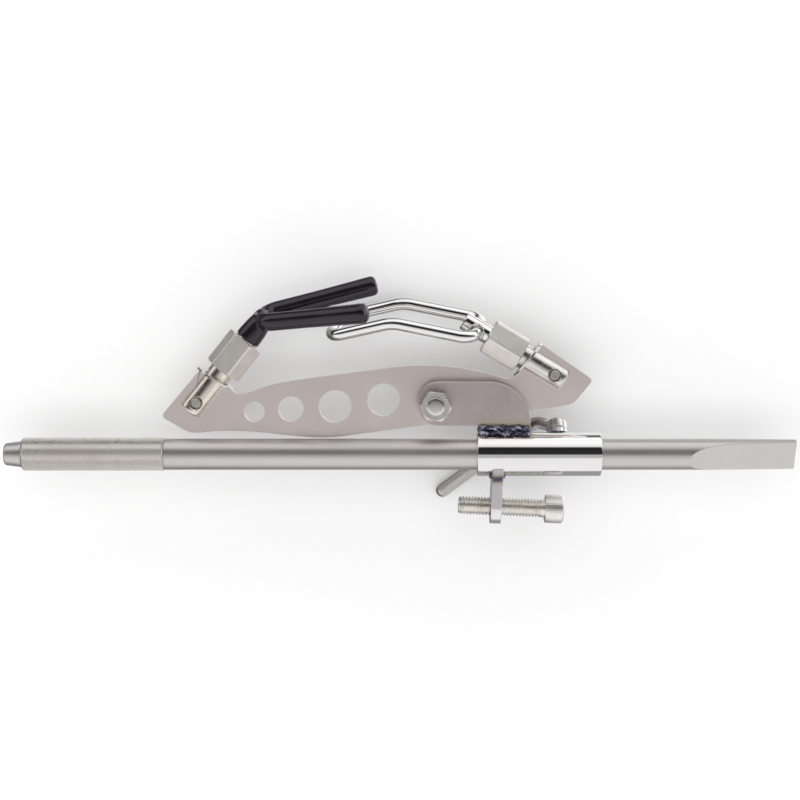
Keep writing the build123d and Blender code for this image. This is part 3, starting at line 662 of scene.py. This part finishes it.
def arm_seam():
    """Middle, half length and reach of the heat tint by the arm plate's weld."""
    low, high = corners("arm_weld")
    middle = (low + high) / 2
    return (middle[0], low[1] + 3 * MM, 0), ((high[0] - low[0]) / 2 - 2 * MM, 1.5 * MM, 4 * MM), 5.5 * MM


def tab_seam():
    """Middle, half length and reach of the heat tint by the tab's weld."""
    low, high = corners("tab_weld")
    middle = (low + high) / 2
    return (middle[0], low[1] + 1.5 * MM, 0), (2 * MM, 0.5 * MM, 9 * MM), 3.2 * MM


def grip_groove():
    """Point and direction of the bar grip's axis, its crest radius and its grooves' depth, which place the
    painted shade in its grooves.
    """
    low, high = corners("knurled_grip")
    return (0, 0, 0), (1, 0, 0), (high[1] - low[1]) / 2, sizes().knurl_depth


def handle_groove():
    """Point and direction of the handle grip's axis, its crest radius and its grooves' depth, which place the
    painted shade in its grooves.
    """
    return HANDLE_END, unit(HANDLE_KNEE - HANDLE_END), HANDLE_GRIP_R, sizes().knurl_depth * HANDLE_KNURL_SHARE


# bare metals: colour, or the name of one that the user sets, then stain, lowest and highest roughness, grain
# stretch, stain scale, stain amount, scratches and bump
STEELS = {
    "polished_bar": ("bar", (0.60, 0.56, 0.50), (0.40, 0.48), (900, 12, 12), 35, 0.25, 0.15, 0.008),
    "knurled_steel": ("knurl", (0.84, 0.79, 0.72), (0.24, 0.36), (300, 300, 300), 70, 0.6, 0.2, 0.06),
    "mirror_sleeve": ("sleeve", (0.78, 0.76, 0.76), (0.025, 0.06), (60, 300, 300), 50, 0.3, 0.15, 0.004),
    "brushed_arm": ("arm", (0.60, 0.51, 0.50), (0.24, 0.46), (40, 1500, 300), 50, 0.6, 1.0, 0.14),
    "satin_beam": ("beam", (0.86, 0.77, 0.735), (0.34, 0.46), (90, 1200, 300), 40, 0.6, 0.35, 0.06),
    "bolt_steel": ((0.74, 0.72, 0.70), (0.62, 0.59, 0.55), (0.20, 0.34), (300, 300, 300), 150, 0.6, 0.5, 0.08),
    "washer_steel": ((0.72, 0.70, 0.68), (0.62, 0.59, 0.55), (0.16, 0.30), (500, 500, 60), 120, 0.5, 0.3, 0.04),
    "pin_steel": ((0.60, 0.57, 0.53), (0.48, 0.44, 0.38), (0.26, 0.42), (500, 500, 500), 300, 0.6, 0.4, 0.10),
    "stud_steel": ("stud", (0.70, 0.63, 0.53), (0.22, 0.36), (400, 400, 100), 110, 0.7, 0.4, 0.05),
    "bright_stud": ((0.78, 0.76, 0.73), (0.68, 0.65, 0.61), (0.22, 0.36), (400, 400, 100), 110, 0.5, 0.4, 0.05),
    "nut_steel": ("nut", (0.74, 0.69, 0.62), (0.46, 0.56), (350, 350, 500), 110, 0.6, 0.45, 0.05),
    "bright_rod": ("chrome", (0.78, 0.77, 0.77), (0.03, 0.09), (80, 80, 80), 60, 0.3, 0.2, 0.01),
    "polished_tab": ((0.82, 0.80, 0.82), (0.74, 0.71, 0.73), (0.16, 0.30), (700, 60, 60), 120, 0.5, 0.4, 0.04),
    "screw_steel": ("screw", (0.74, 0.70, 0.63), (0.30, 0.42), (300, 300, 300), 160, 0.7, 0.3, 0.06),
    "handle_steel": (
        (0.84, 0.81, 0.79), (0.72, 0.68, 0.66), (0.28, 0.40), (300, 300, 300), 120, 0.6, 0.2, 0.06),
}
HEAT_TINTS = {"mirror_sleeve": arm_seam, "brushed_arm": arm_seam, "polished_tab": tab_seam}
# round pieces whose knurl grooves get painted shade
SHADED_GROOVES = {"knurled_steel": grip_groove, "handle_steel": handle_groove}


def make_finish(slot):
    """Material of one of the record's slots."""
    c = colours()
    if slot in STEELS:
        colour, *rest = STEELS[slot]
        colour = getattr(c, colour) if isinstance(colour, str) else colour
        heat = HEAT_TINTS[slot]() if slot in HEAT_TINTS else None
        groove = SHADED_GROOVES[slot]() if slot in SHADED_GROOVES else None
        return steel(slot, colour, *rest, heat, groove)
    if slot == "bright_weld":
        return weld_metal(slot, (0.42, 0.41, 0.41), (0.86, 0.85, 0.84), (0.70, 0.69, 0.68))
    if slot == "weld_bead":
        return weld_metal(slot, tuple(0.25 * v for v in c.weld), (0.42, 0.42, 0.50), c.weld)
    return vinyl(slot, c.vinyl)


def dress(obj, slot):
    """Gives an object its slot's finish, built on first use."""
    if slot not in BUILT:
        BUILT[slot] = make_finish(slot)
    obj.data.materials.clear()
    obj.data.materials.append(BUILT[slot])


# ---------------------------------------------------------------- pieces
class LEVERTOOL_OT_bar(bpy.types.Operator):
    """Build the round bar and its knurled grip"""
    bl_idname = "levertool.bar"
    bl_label = "Bar and grip"

    def execute(self, context):
        softened("lever_bar", "polished_bar", 0.12 * MM)
        low, high = corners("knurled_grip")
        outer = (high[1] - low[1]) / 2
        bore = outer - GRIP_WALL
        step = sizes().knurl_length / 4
        rows = int((high[0] - low[0]) / step)
        columns = 192
        along = np.linspace(low[0], high[0], rows)
        edge = np.clip((outer - GRIP_CHAMFER) + np.minimum(along - low[0], high[0] - along), 0, outer)
        cut = sizes().knurl_depth * (1 - diamond_knurl(rows, columns))
        radius = np.minimum(edge[:, None], outer - cut)
        ends = np.full((1, columns), bore)
        radius = np.concatenate([ends, radius, ends])
        along = np.concatenate([low[:1], along, high[:1]])
        name = "knurled_grip_finished"
        mesh = lathe(name, np.zeros(3), np.array((1.0, 0, 0)), along, radius, columns, loop=True)
        show(name, mesh, "knurled_steel", "bar", "knurled_grip", smooth_angle=14)
        return {"FINISHED"}


def sleeve_radius():
    """Outer radius of the sleeve."""
    return corners("slide_sleeve")[1][1]


def seam_bead(name, start, end, radius, ripples, seed):
    """Lumpy bead that wanders a little about a straight line, closed to a point at both ends."""
    count, columns = 240, 44
    share = np.linspace(0, 1, count)
    path = start + share[:, None] * (end - start)
    path = path + np.stack([0 * share, 0.3 * MM * np.sin(19 * share), 0.2 * MM * np.cos(13 * share)], 1)
    ends = np.sqrt(np.clip(1 - np.abs(2 * share - 1) ** 14, 0, 1))[:, None]
    return tube(name, path, weld_radius(count, columns, radius, ripples, seed) * ends, np.array((0, 1.0, 0)))


def ring_bead(name, path, radius, ripples, hint, seed):
    """Lumpy bead along a closed path."""
    radius = weld_radius(len(path), 20, radius, ripples, seed)
    fade = np.linspace(0, 1, len(path))[:, None]
    radius = radius * (1 - fade ** 12) + radius[:1] * fade ** 12
    return tube(name, path, radius, hint, loop=True)


class LEVERTOOL_OT_sleeve(bpy.types.Operator):
    """Build the mirror-polished sleeve, the arm plate, the tab, the clamp boss and their welds"""
    bl_idname = "levertool.sleeve"
    bl_label = "Sleeve and arm"

    def execute(self, context):
        softened("slide_sleeve", "mirror_sleeve", 0.25 * MM)
        softened("arm_plate", "brushed_arm", 0.45 * MM)
        softened("stop_tab", "polished_tab", 0.30 * MM)
        softened("clamp_boss", "polished_tab", 0.30 * MM)
        self.arm_beads()
        self.tab_bead()
        self.boss_bead()
        return {"FINISHED"}

    def arm_beads(self):
        """One bead on each side of the arm plate's foot."""
        low, high = corners("arm_weld")
        plate_low, plate_high = corners("arm_plate")
        sleeve_r = sleeve_radius()
        beads = []
        for side, seed, share in zip((plate_high[2], plate_low[2]), (4, 9), ARM_BEAD_SIDES):
            out = 0.5 * MM * np.sign(side)
            start = np.array((low[0] - 0.2 * MM, sleeve_r + 0.9 * MM, side + out))
            end = np.array((high[0] + 0.6 * MM, sleeve_r + 0.6 * MM, side + out))
            beads.append(seam_bead("bead", start, end, sizes().weld_size * share, 13.0, seed))
        show("arm_weld_finished", joined("arm_weld_finished", beads), "weld_bead", "slider", "arm_weld")

    def tab_bead(self):
        """Bead round the tab's root: a rounded rectangle laid on the sleeve's round back."""
        low, high = corners("tab_weld")
        sleeve_r = sleeve_radius()
        middle = (low + high) / 2
        half_x, half_z = TAB_BEAD_HALF
        turn = np.linspace(0, 2 * np.pi, 160, endpoint=False)
        x = middle[0] + half_x * np.sign(np.cos(turn)) * np.abs(np.cos(turn)) ** 0.5
        z = half_z * np.sign(np.sin(turn)) * np.abs(np.sin(turn)) ** 0.5
        y = -np.sqrt(sleeve_r ** 2 - z ** 2) - 0.1 * MM
        path = np.stack([x, y, z], 1)
        mesh = ring_bead("tab_weld_finished", path, TAB_BEAD_R, 16.0, np.array((0, 1.0, 0)), 21)
        show("tab_weld_finished", mesh, "weld_bead", "slider", "tab_weld")

    def boss_bead(self):
        """Bead round the boss: the line where its cylinder meets the sleeve's."""
        pos, axis = joint_place("clamp_turn")
        across = np.cross(axis, (1.0, 0, 0))
        sleeve_r = sleeve_radius()
        low, high = corners("clamp_boss")
        boss_r = (high[0] - low[0]) / 2 + 0.3 * MM
        turn = np.linspace(0, 2 * np.pi, 160, endpoint=False)[:, None]
        side = boss_r * np.sin(turn)
        path = pos + boss_r * np.cos(turn) * np.array((1.0, 0, 0)) + side * across
        path = path + np.sqrt(sleeve_r ** 2 - side ** 2) * axis
        mesh = ring_bead("boss_weld_finished", path, BOSS_BEAD_R, 18.0, axis, 33)
        show("boss_weld_finished", mesh, "weld_bead", "slider", "boss_weld")


def joined(name, meshes):
    """One mesh from several."""
    work = bmesh.new()
    for mesh in meshes:
        work.from_mesh(mesh)
    result = bpy.data.meshes.new(name)
    work.to_mesh(result)
    work.free()
    return result


class LEVERTOOL_OT_pivot(bpy.types.Operator):
    """Build the pivot's bolt, nut and washers"""
    bl_idname = "levertool.pivot"
    bl_label = "Pivot"

    def execute(self, context):
        softened("pivot_spacer", "washer_steel", 0.12 * MM)
        softened("pivot_washer", "washer_steel", 0.15 * MM)
        pos, axis = joint_place("beam_rock")
        hexagon_nut("pivot_nut", "bolt_steel", pos, axis)
        low, high = corners("pivot_bolt")
        radius = THREAD_R
        pitch = sizes().thread_pitch
        head_top = corners("pivot_washer")[0][2]
        columns = 64
        thread = np.arange(head_top - low[2], high[2] - low[2] - BOLT_POINT_HEIGHT, pitch / 10)
        run_in = np.clip((thread[:, None] - BOLT_PLAIN_LENGTH) / MM, 0, 1)
        shank = radius - BOLT_THREAD_DEPTH * (thread_cut(thread, columns, pitch) * run_in)
        dome = np.linspace(0, 1, 7)[:, None]
        dome_r = (radius - BOLT_POINT_INSET) * np.sqrt(1 - (dome * 0.985) ** 3) * np.ones(columns)
        dome_r[-1] = 0
        dome_z = high[2] - low[2] - BOLT_POINT_HEIGHT + BOLT_POINT_HEIGHT * dome[:, 0] ** 0.7
        along = np.concatenate([thread[:1], thread, dome_z])
        shape = np.concatenate([np.zeros((1, columns)), shank, dome_r])
        base = np.array((pos[0], pos[1], low[2]))
        shaft = lathe("bolt_shank", base, axis, along, shape, columns)
        head = self.hex_head(base, axis, head_top - low[2])
        name = "pivot_bolt_finished"
        show(name, joined(name, [shaft, head]), "bolt_steel", "slider", "pivot_bolt", smooth_angle=24)
        return {"FINISHED"}

    def hex_head(self, base, axis, height):
        """Closed hexagon head, turned to the CAD bolt's own corners."""
        columns = 240
        start, flat, sides, _ = hexagon_of("pivot_bolt", base, axis, columns)
        along, cone = hexagon_rows(0.0, height, flat, 0.0)
        return lathe("bolt_head", base, axis, along, np.minimum(cone[:, None], sides[None, :]), columns, start)


class LEVERTOOL_OT_beam(bpy.types.Operator):
    """Build the rocking beam and its two cross pins"""
    bl_idname = "levertool.beam"
    bl_label = "Beam"

    def execute(self, context):
        softened("beam_plate", "satin_beam", 0.12 * MM)
        for side in ("left", "right"):
            softened(side + "_cross_pin", "pin_steel", 0.12 * MM)
        return {"FINISHED"}


class LEVERTOOL_OT_couplings(bpy.types.Operator):
    """Build the slotted studs, edge washers and coupling nuts"""
    bl_idname = "levertool.couplings"
    bl_label = "Studs and nuts"

    def execute(self, context):
        for side, stud in (("left", "stud_steel"), ("right", "bright_stud")):
            softened(side + "_slotted_stud", stud, 0.22 * MM)
            softened(side + "_edge_washer", "washer_steel", 0.18 * MM)
            hexagon_nut(side + "_coupling_nut", "nut_steel", *joint_place(side + "_nut_turn"))
        return {"FINISHED"}


def fork_lines():
    """The fork's base point, the direction of its middle line and the direction its prongs spread in."""
    pos, axis = joint_place("fork_swivel")
    level = math.cos(FORK_DIP)
    side = np.array((math.cos(FORK_SPREAD) * level, math.sin(FORK_SPREAD) * level, -math.sin(FORK_DIP)))
    flat = np.array((math.cos(FORK_POINT), math.sin(FORK_POINT), 0.0))
    ahead = unit(flat + np.array((0, 0, float(flat @ side) / math.sin(FORK_DIP))))
    return pos, axis, pos + axis * FORK_STEM_END, ahead, side


class LEVERTOOL_OT_fork(bpy.types.Operator):
    """Build the vinyl-dipped fork"""
    bl_idname = "levertool.fork"
    bl_label = "Fork"

    def execute(self, context):
        s = sizes()
        pos, axis, base, ahead, side = fork_lines()
        bend = FORK_BASE_R
        apex = bend - bend / math.sin(s.prong_half_angle)
        reach = s.prong_reach
        half = (reach - apex) * math.tan(s.prong_half_angle)
        route = [base + ahead * reach - side * half, base + ahead * apex, base + ahead * reach + side * half]
        path = rounded_path(route, [bend], 0.6 * MM)
        length = np.linspace(0, 1, len(path)) * np.linalg.norm(np.diff(path, axis=0), axis=1).sum()
        from_tip = np.minimum(length, length[-1] - length)
        swelling = s.prong_swell * np.clip(1 - from_tip / SWELLING_LENGTH, 0, 1) ** 1.2
        blunt = np.clip(1 - from_tip / TIP_LENGTH, 0, 1)
        radius = (s.prong_radius + swelling) * (1 - blunt ** TIP_POWER) ** (1 / TIP_POWER)
        prongs = tube("prongs", path, radius, np.cross(ahead, side))
        stem_z = np.array((0, 0.0001, 0.4, 0.9, 3.5, 7, 10, 13, 15.5, 17, 18)) * MM
        stem_r = np.array((0, 6.0, 6.45, 6.6, 6.55, 6.3, 5.95, 5.5, 5.2, 4.6, 0)) * MM
        foot = pos + axis * (corners_along("left_coupling_nut", pos, axis) + 0.3 * MM)
        stem = lathe("stem", foot, axis, stem_z, stem_r, 40)
        skin = dipped("vinyl_coat_finished", joined("dip", [prongs, stem]), DIP_VOXEL, DIP_SMOOTHING)
        show("vinyl_coat_finished", skin, "black_vinyl", "fork", "vinyl_coat", smooth_angle=180)
        for node in ("fork_stem", "fork_prongs"):
            dress(frame["nodes"][node], "stud_steel")
        return {"FINISHED"}


def corners_along(node, pos, axis):
    """Furthest distance of a CAD node along an axis from a point."""
    return float(((node_points(node) - pos) @ axis).max())


def dipped(name, mesh, voxel, smoothing):
    """One closed skin round several pieces, its corners run together as a dip leaves them."""
    work = bpy.data.objects.new("dip", mesh)
    bpy.context.scene.collection.objects.link(work)
    remesh = work.modifiers.new("skin", "REMESH")
    remesh.mode = "VOXEL"
    remesh.voxel_size = voxel
    smooth = work.modifiers.new("run together", "SMOOTH")
    smooth.factor = 0.5
    smooth.iterations = smoothing
    graph = bpy.context.evaluated_depsgraph_get()
    result = bpy.data.meshes.new_from_object(work.evaluated_get(graph))
    result.name = name
    bpy.data.objects.remove(work)
    return result


class LEVERTOOL_OT_loop(bpy.types.Operator):
    """Build the bright wire loop, its stem and its welds"""
    bl_idname = "levertool.loop"
    bl_label = "Loop"

    def execute(self, context):
        pos, axis = joint_place("loop_swivel")
        swivel = Matrix.Rotation(-LOOP_SWIVEL, 3, Vector(axis))
        side = np.array(swivel @ Vector((0, 0, -1)))
        bend = np.array(swivel @ Vector((-axis[1], axis[0], 0)))
        root = pos + axis * LOOP_JOIN
        knee = root + self.step(axis, bend, LOOP_BENDS[0], LOOP_RUNS[0])
        tip = knee + self.step(axis, bend, LOOP_BENDS[1], LOOP_RUNS[1])
        half = side * LOOP_HALF_WIDTH
        route = [root - half, knee - half, tip - half, tip + half, knee + half, root + half]
        path = rounded_path(route, [LOOP_CORNER_R, LOOP_KNEE_R, LOOP_CORNER_R] * 2, 0.5 * MM, loop=True)
        rod_r = LOOP_ROD_R
        rod = tube("loop_rod_finished", path, rod_r, bend)
        show("loop_rod_finished", rod, "bright_rod", "loop", "loop_rod")
        softened("loop_stem", "bright_rod", 0.35 * MM)
        beads = []
        turn = np.linspace(0, 2 * np.pi, 90, endpoint=False)[:, None]
        across = np.cross(axis, side)
        for way, seed in ((1, 51), (-1, 57)):
            circle = (rod_r + 0.25 * MM) * (np.cos(turn) * axis + np.sin(turn) * across)
            ring = root + side * way * LOOP_BEAD_PLACE + circle
            sunk = LOOP_BEAD_SINK * way * side * (np.abs(np.sin(turn)) ** 2)
            beads.append(ring_bead("bead", ring - sunk, LOOP_BEAD_R, 11.0, side, seed))
        show("loop_weld_finished", joined("loop_weld_finished", beads), "bright_weld", "loop", "loop_weld")
        return {"FINISHED"}

    def step(self, axis, bend, turn, length):
        """Step along the legs, bent away from the stem's line by an angle."""
        return (axis * math.cos(turn) + bend * math.sin(turn)) * length


class LEVERTOOL_OT_stop_screw(bpy.types.Operator):
    """Build the socket head cap screw through the tab"""
    bl_idname = "levertool.stop_screw"
    bl_label = "Stop screw"

    def execute(self, context):
        axis = joint_place("stop_screw_travel")[1]
        low, high = corners("stop_screw")
        head_r = (high[2] - low[2]) / 2
        head_h = SCREW_HEAD_HEIGHT
        tip = np.array((low[0], self.tip_height(), 0))
        length = (high[0] - low[0]) / axis[0] - 0.3 * MM
        pitch = sizes().thread_pitch
        radius = THREAD_R
        thread = np.arange(0, length - head_h + 0.5 * MM, pitch / 12)
        columns = 72
        cut = thread_cut(thread, columns, pitch)
        neck = np.clip((length - head_h - SCREW_NECK[0] - thread) / SCREW_NECK[1], 0, 1)[:, None]
        shape = radius - SCREW_THREAD_DEPTH * cut * neck - 0.1 * MM * (1 - neck)
        point = np.clip(1 - thread / SCREW_POINT[0], 0, 1)[:, None]
        shape = np.minimum(shape, radius - SCREW_POINT[1] * point)
        shape = np.concatenate([np.zeros((1, columns)), shape])
        shank = lathe("shank", tip, axis, np.concatenate([[0], thread]), shape, columns)
        head = self.head(tip + axis * (length - head_h), axis, head_h, head_r)
        show("stop_screw_finished", joined("stop_screw_finished", [shank, head]), "screw_steel", "stop",
             "stop_screw", smooth_angle=48)
        return {"FINISHED"}

    def tip_height(self):
        """Height of the screw's middle at its left end."""
        points = node_points("stop_screw")
        near = points[points[:, 0] < points[:, 0].min() + 1.0 * MM]
        return float((near[:, 1].min() + near[:, 1].max()) / 2)

    def head(self, base, axis, height, radius):
        """Round head with a fine straight knurl, a chamfer and a hexagon socket."""
        columns = 288
        turn = np.linspace(0, 2 * np.pi, columns, endpoint=False)
        flutes = 0.07 * MM * np.abs(np.sin(24 * turn))
        socket = hexagon_radius(SOCKET_HALF, turn + np.pi / 6)
        full = radius * np.ones(columns)
        rows = [
            (0, 0 * full), (0, full - 0.5 * MM), (0.12 * MM, full - 0.15 * MM), (0.45 * MM, full - flutes),
            (height - 1.3 * MM, full - flutes), (height - 1.0 * MM, full - 0.12 * MM),
            (height - 0.35 * MM, full - 0.55 * MM), (height - 0.08 * MM, full - 0.95 * MM),
            (height, full - 1.4 * MM), (height, socket + 0.35 * MM), (height - 0.35 * MM, socket),
            (height - SOCKET_DEPTH, socket), (height - SOCKET_DEPTH - 0.8 * MM, 0 * full),
        ]
        along = np.array([z for z, _ in rows])
        return lathe("head", base, axis, along, np.stack([r for _, r in rows]), columns)


class LEVERTOOL_OT_clamp(bpy.types.Operator):
    """Build the clamp screw and its bent handle"""
    bl_idname = "levertool.clamp"
    bl_label = "Clamp"

    def execute(self, context):
        softened("clamp_screw", "bolt_steel", 0.2 * MM)
        pos, axis = joint_place("clamp_turn")
        root = pos + axis * HUB_MIDDLE
        knee, end = HANDLE_KNEE, HANDLE_END
        path = rounded_path([root, knee, end], [HANDLE_BEND_R], 0.35 * MM)
        back = unit(knee - end)
        plain = path[((path - end) @ back) > HANDLE_ROD_STOP]
        fade = np.clip(np.arange(len(plain))[::-1] / 6, 0, 1)
        rod_r = HANDLE_ROD_R * np.sqrt(fade)
        rod = tube("rod", plain, rod_r, np.cross(unit(root - knee), back))
        grip = self.grip(end, back)
        show("clamp_handle_finished", joined("clamp_handle_finished", [rod, grip]), "handle_steel", "clamp",
             "clamp_handle", smooth_angle=14)
        return {"FINISHED"}

    def grip(self, end, back):
        """Knurled round grip with a plain round end, a quarter circle in section."""
        radius, length, columns = HANDLE_GRIP_R, HANDLE_GRIP_LENGTH, 80
        step = sizes().knurl_length / 4
        rows = int((length - radius) / step)
        along = radius + step * np.arange(rows)
        cut = sizes().knurl_depth * HANDLE_KNURL_SHARE * (1 - diamond_knurl(rows, columns))
        edge = np.clip((length - along)[:, None] / (1.2 * MM), 0.0, 1) ** 0.5
        body = (radius - cut) * edge
        swing = np.linspace(0, np.pi / 2, 12, endpoint=False)
        along = np.concatenate([radius * (1 - np.cos(swing)), along, [length]])
        nose = (radius - 0.1 * MM) * np.sin(swing)[:, None] * np.ones(columns)
        shape = np.concatenate([nose, body, np.zeros((1, columns))])
        return lathe("grip", end, back, along, shape, columns)


# ---------------------------------------------------------------- stage
FLOOR_DROP = 0.4 * MM
CAMERA_TILT = math.radians(4.3)
CAMERA_DISTANCE = 0.9
CAMERA_TARGET = np.array((0.2016, 0.0277, 0.0))
FRAME_WIDTH = 0.4072
FLOOR_TONE = 0.96
LAMP_POWER = 19.0
SENSOR_WIDTH = 36.0


class LEVERTOOL_OT_stage(bpy.types.Operator):
    """Build the pale floor, the studio surround, the soft light and the camera"""
    bl_idname = "levertool.stage"
    bl_label = "Stage"

    def execute(self, context):
        self.floor()
        self.surround()
        self.light()
        self.camera()
        bpy.context.scene.view_settings.view_transform = "Standard"
        return {"FINISHED"}

    def floor(self):
        """Pale floor just under the lowest piece, left out of mirror reflections."""
        low = CAD_BOX[0][2] - FLOOR_DROP
        share = np.linspace(-1.5, 1.5, 9)
        x, y = np.meshgrid(share + CAMERA_TARGET[0], share, indexing="ij")
        mesh = grid_mesh("floor", np.stack([x, y, np.full_like(x, low)], -1), loop_columns=False)
        if mesh.polygons[0].normal.z < 0:
            mesh.flip_normals()
        floor = bpy.data.objects.new("floor", mesh)
        bpy.context.scene.collection.objects.link(floor)
        paper = bpy.data.materials.new("floor_paper")
        paper.use_nodes = True
        shader = paper.node_tree.nodes["Principled BSDF"]
        shader.inputs["Base Color"].default_value = (FLOOR_TONE, FLOOR_TONE, FLOOR_TONE, 1)
        shader.inputs["Roughness"].default_value = 0.9
        mesh.materials.append(paper)
        floor.visible_glossy = False

    def surround(self):
        """Studio seen in the metal: long soft boxes to both sides of a dark ceiling gap, as brightness by the
        angle round the bar's axis."""
        world = bpy.data.worlds.new("studio")
        bpy.context.scene.world = world
        world.use_nodes = True
        tree = world.node_tree
        back = tree.nodes["Background"]
        where = add(tree, "ShaderNodeTexCoord").outputs["Generated"]
        part = add(tree, "ShaderNodeSeparateXYZ", Vector=where)
        angle = maths(tree, "ARCTAN2", part.outputs["Y"], part.outputs["Z"])
        share = maths(tree, "MULTIPLY_ADD", angle, 0.5 / math.pi, 0.5)
        ramp = add(tree, "ShaderNodeValToRGB", Fac=share)
        tilt = math.degrees(CAMERA_TILT)
        bands = [(-180, 0.45), (-150, 0.30), (-104, 0.30), (-94, 1.0), (-22, 0.97), (-17, 0.55), (-3, 0.50),
                 (1, 0.03), (36, 0.02), (43, 0.9), (60, 1.15), (97, 1.1), (104, 0.12), (118, 0.14), (128, 0.8),
                 (180, 0.7)]
        places = [0.0] + [0.5 + (degrees + tilt) / 360 for degrees, _ in bands[1:-1]] + [1.0]
        fill_ramp(ramp, [(place, (level,) * 3) for place, (_, level) in zip(places, bands)])
        below = add(tree, "ShaderNodeMapRange", i0=part.outputs["Z"], i1=0.1, i2=-0.2)
        right = add(tree, "ShaderNodeMapRange", i0=part.outputs["X"], i1=-0.5, i2=0.6, i3=0.35, i4=1.9)
        tint = add(tree, "ShaderNodeMix", {"data_type": "FLOAT"}, i0=below.outputs[0], i2=1.0,
                   i3=right.outputs[0])
        bright = add(tree, "ShaderNodeMix", {"data_type": "RGBA", "blend_type": "MULTIPLY"}, i0=1.0,
                     i6=ramp.outputs[0], i7=tint.outputs[0])
        tree.links.new(bright.outputs[2], back.inputs["Color"])
        back.inputs["Strength"].default_value = 1.0

    def light(self):
        """Broad overhead light for the floor and the vinyl, left out of mirror reflections."""
        lamp = bpy.data.lights.new("overhead", "AREA")
        lamp.shape = "RECTANGLE"
        lamp.size, lamp.size_y = 2.4, 2.0
        lamp.energy = LAMP_POWER
        obj = bpy.data.objects.new("overhead", lamp)
        obj.location = (CAMERA_TARGET[0] - 0.15, 0.25, 1.5)
        obj.visible_glossy = False
        bpy.context.scene.collection.objects.link(obj)

    def camera(self):
        """Camera nearly square to the plates, a little above the hooks' side."""
        data = bpy.data.cameras.new("camera")
        data.sensor_width = SENSOR_WIDTH
        data.lens = SENSOR_WIDTH * CAMERA_DISTANCE / FRAME_WIDTH
        data.clip_end = 10
        obj = bpy.data.objects.new("camera", data)
        bpy.context.scene.collection.objects.link(obj)
        out = np.array((0, math.sin(CAMERA_TILT), math.cos(CAMERA_TILT)))
        obj.location = CAMERA_TARGET + CAMERA_DISTANCE * out
        obj.rotation_euler = (-CAMERA_TILT, 0, 0)
        bpy.context.scene.camera = obj


class LEVERTOOL_PT_panel(bpy.types.Panel):
    """Sizes, colours and the build steps, in order"""
    bl_label = "Lever Tool"
    bl_idname = "LEVERTOOL_PT_panel"
    bl_space_type = "VIEW_3D"
    bl_region_type = "UI"
    bl_category = "Lever Tool"

    def draw(self, context):
        for holder in (context.scene.lever_sizes, context.scene.lever_colours):
            box = self.layout.box()
            for key in holder.bl_rna.properties.keys():
                if key not in ("rna_type", "name"):
                    box.prop(holder, key)
        for operator in OPERATORS:
            self.layout.operator(operator.bl_idname)


OPERATORS = (
    LEVERTOOL_OT_bar, LEVERTOOL_OT_sleeve, LEVERTOOL_OT_pivot, LEVERTOOL_OT_beam, LEVERTOOL_OT_couplings,
    LEVERTOOL_OT_fork, LEVERTOOL_OT_loop, LEVERTOOL_OT_stop_screw, LEVERTOOL_OT_clamp, LEVERTOOL_OT_stage,
)
CLASSES = (LeverToolSizes, LeverToolColours, *OPERATORS, LEVERTOOL_PT_panel)


def register():
    """Adds the classes and the scene's settings."""
    for cls in CLASSES:
        bpy.utils.register_class(cls)
    bpy.types.Scene.lever_sizes = bpy.props.PointerProperty(type=LeverToolSizes)
    bpy.types.Scene.lever_colours = bpy.props.PointerProperty(type=LeverToolColours)


def unregister():
    """Takes them away again."""
    del bpy.types.Scene.lever_colours
    del bpy.types.Scene.lever_sizes
    for cls in reversed(CLASSES):
        bpy.utils.unregister_class(cls)


def main():
    """Builds everything in order."""
    register()
    bpy.ops.levertool.bar()
    bpy.ops.levertool.sleeve()
    bpy.ops.levertool.pivot()
    bpy.ops.levertool.beam()
    bpy.ops.levertool.couplings()
    bpy.ops.levertool.fork()
    bpy.ops.levertool.loop()
    bpy.ops.levertool.stop_screw()
    bpy.ops.levertool.clamp()
    bpy.ops.levertool.stage()


if __name__ == "__main__":
    main()
